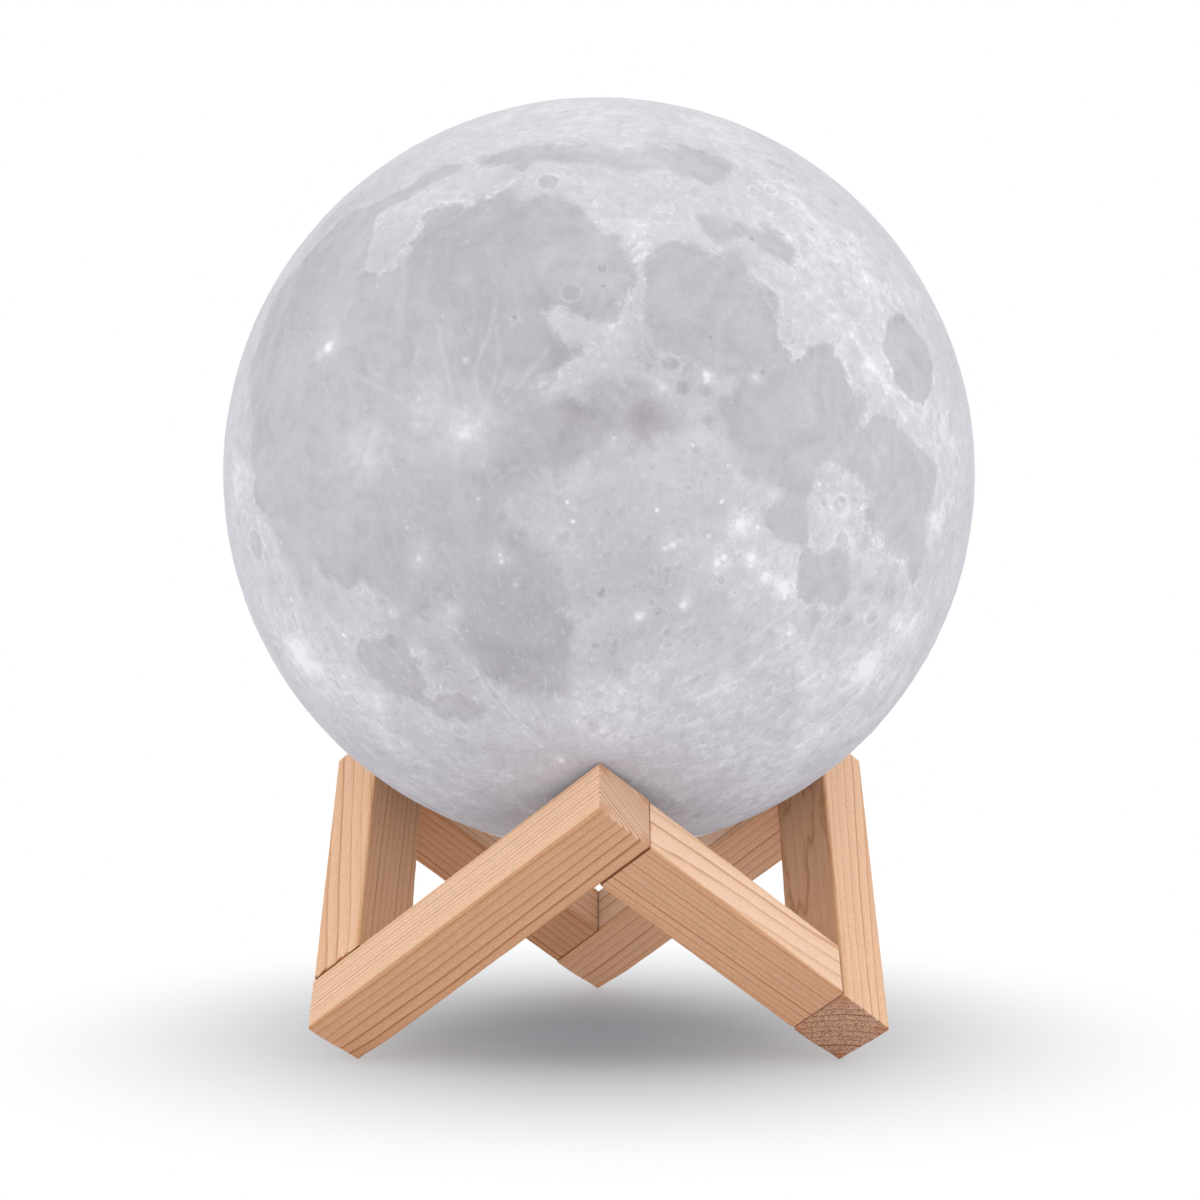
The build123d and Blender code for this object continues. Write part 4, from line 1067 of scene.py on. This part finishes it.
def stick_tree():
    """A sawn and sanded stick: unevenly eased edges, a slight wave, torn ends, feet that end in a point."""
    timber = ("Ring Step", "Dark", "Lines", "Vein", "Warm")
    graph, given = new_group("sawn_stick", "Geometry", {
        "Vector": ["Start", "Across One", "Across Two", "Run", "Pith", "Slant", "Heart"],
        "Float": ["Width", "Length", "Ease", "Wear", "Wave", "Tear Low", "Tear High", "Soak Low", "Soak High",
                  "Foot Press", "Foot Rise", *timber],
        "Int": ["Cells Across", "Cells Along", "Seed"], "Material": ["Material"],
    }, "Geometry")
    cube = graph.out("GeometryNodeMeshCube", {
        "Size": (2.0, 2.0, 2.0), "Vertices X": given["Cells Across"], "Vertices Y": given["Cells Across"],
        "Vertices Z": given["Cells Along"],
    }, "Mesh")
    half_width = given["Width"] * 0.5
    half_length = given["Length"] * 0.5
    half = graph.join(half_width, half_width, half_length)

    def towards_edges(value, power):
        """Draws evenly spaced points closer together near both edges."""
        rest = graph.math("SUBTRACT", 1.0, graph.math("ABSOLUTE", value), clamp=True)
        return graph.math("SIGN", value) * (1.0 - graph.math("POWER", rest, power))

    x, y, z = graph.split(graph.out("GeometryNodeInputPosition"))
    block = graph.join(towards_edges(x, 1.7), towards_edges(y, 1.7), towards_edges(z, 1.3)) * half
    block_x, block_y, block_z = graph.split(block)
    seat = block + graph.join(given["Seed"], given["Seed"], given["Seed"]) * 0.01
    ease = given["Ease"] + graph.swing(seat, 260.0) * given["Wear"]
    inner = half - graph.join(ease, ease, ease)
    core = graph.vector("MINIMUM", graph.vector("MAXIMUM", block, inner * -1.0), inner)
    normal = graph.vector("NORMALIZE", block - core)
    low = graph.step(block_z + half_length, *END_REACH)
    high = graph.step(half_length - block_z, *END_REACH)
    chips = graph.step(graph.noise(seat, 1500.0, 2.0, 0.6), 0.48, 0.62)
    tear = (low * given["Tear Low"] + high * given["Tear High"]) * chips
    wave = graph.swing(seat, 45.0, 2.0) * given["Wave"]
    shaped_x, shaped_y, shaped_z = graph.split(core + normal * (ease + wave - tear))
    placed = given["Start"] + given["Across One"] * shaped_x + given["Across Two"] * shaped_y
    placed = placed + given["Run"] * (shaped_z + half_length)
    press = given["Foot Press"]
    lifted = graph.step(graph.split(placed)[2], press * -1.0, given["Foot Rise"], press, 0.0)
    placed = graph.vector("MAXIMUM", placed + graph.join(0.0, 0.0, lifted), (-1.0, -1.0, 0.0))

    from_sides = [half_width - graph.math("ABSOLUTE", side) for side in (block_x, block_y)]
    log = block - given["Pith"] + given["Slant"] * block_z
    geometry = store(graph, cube, "log", log, "FLOAT_VECTOR")
    marks = {
        "end": half_length - graph.math("ABSOLUTE", block_z), "tear": tear / MM,
        "heart": graph.vector("DOT_PRODUCT", block, given["Heart"]) / half_width,
        "soak": low * given["Soak Low"] + high * given["Soak High"],
        "arris": graph.math("MAXIMUM", *from_sides) / MM,
    }
    marks.update((label.lower().replace(" ", "_"), given[label]) for label in timber)
    for name, value in marks.items():
        geometry = store(graph, geometry, name, value)
    moved = graph.out("GeometryNodeSetPosition", {"Geometry": geometry, "Position": placed})
    return close_tree(graph, moved, given["Material"])


def stand_wood():
    """Sanded pine: growth rings about each stick's own pith, fibres, pores and darker end grain."""
    finish, graph, shader = new_finish("stand_wood")
    log = graph.out("ShaderNodeAttribute", None, "Vector", attribute_name="log") * 1000.0
    ring_step, end, tear, heart, soak, arris, dark, lines, open_grain, warm = graph.stored(
        "ring_step", "end", "tear", "heart", "soak", "arris", "dark", "lines", "vein", "warm")
    x, y, z = graph.split(log)

    def drawn_out(share):
        """The log's coordinates, shortened along it to draw a pattern out along the grain."""
        return graph.join(x, y, z * share)

    radius = graph.vector("LENGTH", drawn_out(0.0))
    along = drawn_out(0.14)
    radius = radius + graph.swing(along, 0.10, 2.0) * 1.5 + graph.swing(along, 0.7, 2.0) * 0.16
    rings = radius / ring_step + graph.swing(graph.join(radius, 0.0, 0.0), 0.35, 2.0) * 1.5
    part = graph.math("FRACT", rings)
    year = {"W": graph.math("FLOOR", rings)}
    draw = graph.out("ShaderNodeTexWhiteNoise", year, "Value", noise_dimensions="1D")
    late = graph.step(part, 0.76, 0.95) * graph.step(part, 1.0, 0.965) * graph.step(draw, 0.0, 1.0, 0.30, 1.0)
    autumn = graph.step(part, 0.10, 0.95)
    heart_and_shade_side = graph.step(heart, 0.84, 0.98)
    vein = open_grain * heart_and_shade_side
    fibre = graph.noise(drawn_out(0.06), 2.6, 5.0, 0.7)
    speck = graph.swing(log, 1.9, 3.0, 0.8)
    dash = graph.step(graph.noise(drawn_out(0.09), 3.4, 3.0, 0.7), 0.64, 0.74)
    crack = graph.step(graph.noise(drawn_out(0.10), 1.1, 2.0, 0.6), 0.74, 0.79)
    streak = graph.step(graph.math("ABSOLUTE", graph.swing(along, 0.12, 4.0, 0.6)), 0.05, 0.0)
    broad = graph.noise(along, 0.07)

    face = graph.blend(autumn * 0.32, paint(*SPRING_WOOD), paint(*AUTUMN_WOOD))
    face = graph.blend(late * lines * (1.0 - vein * 0.9), face, paint(*RING_LINE))
    face = graph.blend(streak * vein * 0.45, face, paint(*VEIN_STREAK))
    face = graph.blend(graph.step(arris, 1.8, 0.1, 0.0, 0.32), face, paint(*RUBBED_EDGE))
    shade = broad * 0.14 + fibre * 0.28 + speck * 0.56 - dash * 0.10 - crack * 0.30 + 0.785
    face = graph.blend(1.0, face, graph.join(shade, shade, shade), "MULTIPLY")
    # heartwood and painted shade: the darker heart side is set on each stick's shaded faces
    face = graph.blend(heart_and_shade_side * dark, face, paint(*HEARTWOOD_AND_SHADE), "MULTIPLY")
    face = graph.blend(warm, face, paint(*WARM_WOOD), "MULTIPLY")

    pores = graph.step(graph.noise(drawn_out(0.05), 2.9, 2.0, 0.8), 0.44, 0.60) * (open_grain * 0.64 + 0.10)
    end_grain = graph.blend(autumn * 0.25, paint(*END_SPRING), paint(*END_AUTUMN))
    end_grain = graph.blend(pores, end_grain, paint(*END_PORE))
    end_grain = graph.blend(late * 0.95, end_grain, paint(*END_LINE))
    end_grain = graph.blend(graph.step(arris, 3.5, 0.3, 0.0, 0.5), end_grain, paint(*END_RUST))
    end_grain = graph.blend(soak, end_grain, paint(*SOAKED_END))
    colour = graph.blend(graph.step(end, 0.45 * MM, 0.10 * MM), face, end_grain)
    colour = graph.blend(graph.step(tear, 0.02, 0.16), colour, paint(*TORN_FIBRE))
    height = late * 0.12 + fibre * 0.4 - dash * 0.4 + graph.noise(log, 9.0, 2.0) * 0.25
    dress(graph, shader, colour, graph.step(fibre, 0.3, 0.7, 0.62, 0.76), height, 0.03 * MM, 0.6,
          Specular_IOR_Level=0.12)
    return finish


def build_stand():
    tree = stick_tree()
    timber = stand_wood()
    for name, cut in STICKS.items():
        first, second = SECTIONS[cut["edge"]]
        turn = math.radians(cut["way"])
        values = {
            "Start": cube_point(*cut["start"]), "Across One": CUBE[first], "Across Two": CUBE[second],
            "Run": CUBE[cut["edge"]], "Width": STICK_WIDTH, "Length": cut["length"], "Ease": STICK_EASE,
            "Wear": STICK_WEAR, "Wave": STICK_WAVE, "Foot Press": FOOT_PRESS, "Foot Rise": FOOT_RISE,
            "Tear Low": cut["torn"][0] * MM, "Tear High": cut["torn"][1] * MM,
            "Soak Low": cut["soak"][0], "Soak High": cut["soak"][1],
            "Pith": Vector((-math.cos(turn), -math.sin(turn), 0)) * cut["pith"] * MM,
            "Slant": (*cut["slant"], 0.0), "Heart": (*cut["heart"], 0.0), "Ring Step": cut["rings"],
            "Dark": cut["dark"], "Lines": cut["lines"], "Vein": cut["vein"], "Warm": cut["warm"],
            "Cells Across": STICK_CELLS_ACROSS + 1,
            "Cells Along": round(cut["length"] / STICK_CELL_ALONG) + 1,
            "Seed": cut["seed"], "Material": timber,
        }
        stick = grow("sanded_" + name, tree, values)
        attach(stick, "stand")
        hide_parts(name)


# Finishes of the light unit
def moulded(name, colour, other, rough, grain=1.2, depth=0.03, **sockets):
    """Moulded or stamped finish: two close tints, uneven gloss and a fine grain."""
    finish, graph, shader = new_finish(name)
    place = graph.object_mm()
    speck = graph.noise(place, grain, 4.0, 0.6)
    cloud = graph.noise(place, 0.12, 4.0) + speck * 0.3
    tint = graph.blend(graph.step(cloud, 0.45, 0.85), paint(*colour), paint(*other))
    gloss = graph.step(speck, 0.3, 0.7, rough * 0.85, rough * 1.15)
    dress(graph, shader, tint, gloss, speck, depth * MM, **sockets)
    return finish


def from_axis(graph, place):
    """Distance in millimetres from the lamp's upright axis."""
    return graph.vector("LENGTH", place * (1.0, 1.0, 0.0))


def base_plastic():
    """Satin white moulding: spark-eroded grain, faint flow rings about the axis and a little dust."""
    finish, graph, shader = new_finish("base_plastic")
    place = graph.object_mm()
    grain = graph.noise(place, 4.2, 3.0, 0.6)
    flow = graph.noise(graph.join(from_axis(graph, place) * 0.9, 0.0, 0.0), 1.0)
    dust = graph.step(graph.noise(place, 2.4, 2.0, 0.6), 0.70, 0.78)
    cloud = graph.step(graph.noise(place, 0.09, 4.0), 0.35, 0.70)
    tint = graph.blend(cloud, paint(236, 235, 233), paint(229, 228, 226))
    tint = graph.blend(graph.step(flow, 0.45, 0.7, 0.0, 0.35), tint, paint(224, 223, 222))
    tint = graph.blend(dust * 0.35, tint, paint(176, 173, 168))
    dress(graph, shader, tint, graph.step(grain, 0.3, 0.7, 0.40, 0.52), grain, 0.02 * MM, 0.6)
    return finish


def bezel_metal():
    """Turned and brushed ring: fine circles about the axis."""
    finish, graph, shader = new_finish("bezel_metal")
    place = graph.object_mm()
    turned = graph.join(from_axis(graph, place) * 9.0, graph.split(place)[2] * 9.0, 0.0)
    circles = graph.noise(turned, 1.0, 4.0, 0.7)
    scuff = graph.step(graph.noise(place, 0.8, 4.0, 0.7), 0.60, 0.75)
    tint = graph.blend(graph.step(circles, 0.3, 0.7), paint(214, 215, 219), paint(188, 190, 195))
    tint = graph.blend(scuff * 0.3, tint, paint(170, 171, 176))
    dress(graph, shader, tint, graph.step(circles, 0.3, 0.7, 0.20, 0.34), circles, 0.006 * MM, Metallic=1.0)
    return finish


def button_plastic():
    """Glossy cap of the button, polished in the middle by fingers."""
    finish, graph, shader = new_finish("button_plastic")
    place = graph.object_mm()
    polish = graph.step(from_axis(graph, place), 1.0, 5.0)
    smear = graph.noise(place, 0.7, 4.0, 0.6, 0.8)
    tint = graph.blend(graph.step(smear, 0.35, 0.70), paint(241, 241, 240), paint(233, 233, 233))
    tint = graph.blend(polish * 0.35, tint, paint(226, 225, 223))
    gloss = graph.step(smear, 0.3, 0.7, 0.16, 0.30) + polish * 0.08
    dress(graph, shader, tint, gloss, graph.noise(place, 3.0, 2.0), 0.006 * MM)
    return finish


def circuit_board():
    """Solder mask over copper: raised tracks between cells and tinned square pads."""
    finish, graph, shader = new_finish("circuit_board")
    place = graph.object_mm()
    values = {"Vector": place, "Scale": 0.42}
    edge = graph.out("ShaderNodeTexVoronoi", values, "Distance", feature="DISTANCE_TO_EDGE")
    distance, draw = graph.cells(place, 0.42, distance="MANHATTAN")
    track = graph.step(edge, 0.10, 0.06)
    pad = graph.step(distance, 0.30, 0.26) * graph.step(draw, 0.45, 0.50)
    cloud = graph.noise(place, 0.25)
    mask = graph.blend(cloud, paint(34, 104, 66), paint(24, 84, 52))
    mask = graph.blend(track * 0.7, mask, paint(62, 136, 84))
    tint = graph.blend(pad, mask, paint(206, 204, 196))
    gloss = graph.step(cloud, 0.3, 0.7, 0.28, 0.38)
    dress(graph, shader, tint, gloss, track + pad, 0.03 * MM, Metallic=pad * 0.8)
    return finish


def dowel_wood():
    """Turned beech: short dark flecks and long pale fibres."""
    finish, graph, shader = new_finish("dowel_wood")
    place = graph.object_mm()
    fibre = graph.noise(place, 1.6, 5.0, 0.7, 0.6)
    fleck = graph.step(graph.noise(place, 3.2, 2.0, 0.6), 0.62, 0.72)
    tint = graph.blend(graph.step(fibre, 0.35, 0.65), paint(229, 196, 158), paint(208, 168, 124))
    tint = graph.blend(fleck * 0.6, tint, paint(164, 116, 78))
    dress(graph, shader, tint, graph.step(fibre, 0.3, 0.7, 0.55, 0.72), fibre, 0.05 * MM)
    return finish


def foam():
    """Closed-cell pad: small rounded cells."""
    finish, graph, shader = new_finish("foam")
    distance = graph.cells(graph.object_mm(), 2.6)[0]
    tint = graph.blend(graph.step(distance, 0.1, 0.6), paint(58, 58, 61), paint(80, 80, 83))
    dress(graph, shader, tint, graph.step(distance, 0.0, 0.7, 0.96, 0.82), distance, 0.20 * MM)
    return finish


def battery_foil():
    """Crinkled pouch foil: soft dents, fine creases and a cool sheen."""
    finish, graph, shader = new_finish("battery_foil")
    place = graph.object_mm()
    dent = graph.noise(place, 0.16)
    crease = graph.math("ABSOLUTE", graph.swing(place, 0.5, 5.0, 0.6, 0.6) * 2.0)
    tint = graph.blend(graph.step(crease, 0.0, 0.35), paint(214, 216, 220), paint(188, 191, 197))
    gloss = graph.step(dent, 0.3, 0.7, 0.26, 0.42)
    dress(graph, shader, tint, gloss, dent + crease * 0.25, 0.25 * MM, 0.6, Metallic=0.85)
    return finish


MADE_FINISHES = (base_plastic, bezel_metal, button_plastic, circuit_board, dowel_wood, foam, battery_foil)
MOULDED_FINISHES = {
    "switch_plastic": dict(colour=(48, 48, 50), other=(38, 38, 40), rough=0.5),
    "socket_steel": dict(colour=(188, 189, 193), other=(170, 171, 176), rough=0.3, grain=3.0, depth=0.01,
                         Metallic=1.0),
    "clear_plastic": dict(colour=(240, 244, 247), other=(234, 239, 244), rough=0.12, depth=0.005,
                          Transmission_Weight=0.8),
    "led_board_white": dict(colour=(240, 240, 236), other=(228, 228, 224), rough=0.35, grain=0.8),
    "chip_black": dict(colour=(46, 46, 49), other=(34, 34, 37), rough=0.55, grain=3.0),
    "screw_steel": dict(colour=(178, 179, 184), other=(156, 157, 163), rough=0.32, grain=2.5, depth=0.02,
                        Metallic=1.0),
    "lead_red": dict(colour=(196, 42, 36), other=(176, 34, 30), rough=0.42),
    "lead_black": dict(colour=(44, 44, 45), other=(32, 32, 33), rough=0.42),
    "lead_white": dict(colour=(234, 233, 230), other=(222, 221, 217), rough=0.42),
    "led_yellow": dict(colour=(240, 214, 110), other=(232, 200, 88), rough=0.3, grain=2.0),
    "diffuser": dict(colour=(244, 243, 240), other=(236, 235, 232), rough=0.55, grain=1.6,
                     Transmission_Weight=0.3),
}


def dress_light_unit():
    made = {slot: moulded(slot, **values) for slot, values in MOULDED_FINISHES.items()}
    made.update((finish.__name__, finish()) for finish in MADE_FINISHES)
    for part in frame["record"]["subparts"]:
        if part["material_slot"] in made:
            node = frame["nodes"][part["node"]]
            node.data.materials.clear()
            node.data.materials.append(made[part["material_slot"]])


# Floor, light and camera
def white_floor():
    """Pale paper, grey and cool around the lamp as a painted shadow beside the cast one, that runs out to
    pure white, bounces more light than it shows and is clear from below.
    """
    finish, graph, shader = new_finish("white_floor")
    place = graph.out("ShaderNodeTexCoord", None, "Object")
    seen_ray = graph.seen_ray()
    # painted shadow: the paper seen near the lamp is grey and slightly cool and fades to white further out
    paper = graph.blend(graph.noise(place, 40.0), paint(174, 181, 190), paint(178, 185, 194))
    graph.feed(shader.inputs["Base Color"], graph.blend(seen_ray, FLOOR_BOUNCE, paper))
    shader.inputs["Roughness"].default_value = 0.8
    shader.inputs["Specular IOR Level"].default_value = 0.1
    white = graph.out("ShaderNodeEmission", {"Color": (1, 1, 1, 1), "Strength": 1.0})
    far = graph.step(graph.vector("LENGTH", place), *FLOOR_SHADOW_FADE) * seen_ray
    shown = graph.out("ShaderNodeMixShader", {0: far, 1: Value(graph, shader.outputs[0]), 2: white})
    camera_ray = graph.out("ShaderNodeLightPath", None, "Is Camera Ray")
    under = graph.out("ShaderNodeNewGeometry", None, "Backfacing") * camera_ray
    clear = graph.out("ShaderNodeBsdfTransparent")
    mixed = graph.out("ShaderNodeMixShader", {0: under, 1: shown, 2: clear})
    graph.node("ShaderNodeOutputMaterial", {"Surface": mixed}, is_active_output=True)
    return finish


def build_floor():
    mesh = bpy.data.meshes.new("floor")
    reach = FLOOR_SIZE / 2
    corners = [(-reach, -reach, 0), (reach, -reach, 0), (reach, reach, 0), (-reach, reach, 0)]
    mesh.from_pydata(corners, [], [(0, 1, 2, 3)])
    mesh.materials.append(white_floor())
    floor = linked("floor", mesh)


def build_sky():
    """White to the eye, and a soft dome of light that is brightest at the horizon."""
    world = bpy.data.worlds.new("studio")
    bpy.context.scene.world = world
    world.use_nodes = True
    world.node_tree.nodes.clear()
    graph = Graph(world.node_tree)
    height = graph.split(graph.out("ShaderNodeTexCoord", None, "Generated"))[2]
    level = graph.step(height, 0.0, 1.0, SKY_EDGE, SKY_TOP)
    dome = graph.out("ShaderNodeBackground", {"Color": (1, 1, 1, 1), "Strength": level})
    white = graph.out("ShaderNodeBackground", {"Color": (1, 1, 1, 1), "Strength": 1.0})
    mixed = graph.out("ShaderNodeMixShader", {0: graph.seen_ray(), 1: dome, 2: white})
    graph.node("ShaderNodeOutputWorld", {"Surface": mixed})


def build_lights():
    for name, (watts, place) in SOFT_LIGHTS.items():
        lamp = bpy.data.lights.new(name, "AREA")
        lamp.shape = "DISK"
        lamp.size = SOFT_LIGHT_SIZE
        lamp.energy = watts
        lit = linked(name, lamp)
        lit.location = place
        lit.rotation_euler = (BALL_CENTRE - Vector(place)).to_track_quat("-Z", "Y").to_euler()


def build_camera():
    camera = linked("camera", bpy.data.cameras.new("camera"))
    camera.data.lens = CAMERA_LENS
    camera.data.sensor_width = CAMERA_SENSOR
    camera.data.shift_x = CAMERA_SHIFT
    camera.location = CAMERA_PLACE
    camera.rotation_euler = (math.radians(90 - CAMERA_DIP), 0, 0)
    bpy.context.scene.camera = camera
    bpy.context.scene.view_settings.view_transform = "Standard"


build_ball()
build_stand()
dress_light_unit()
build_floor()
build_sky()
build_lights()
build_camera()
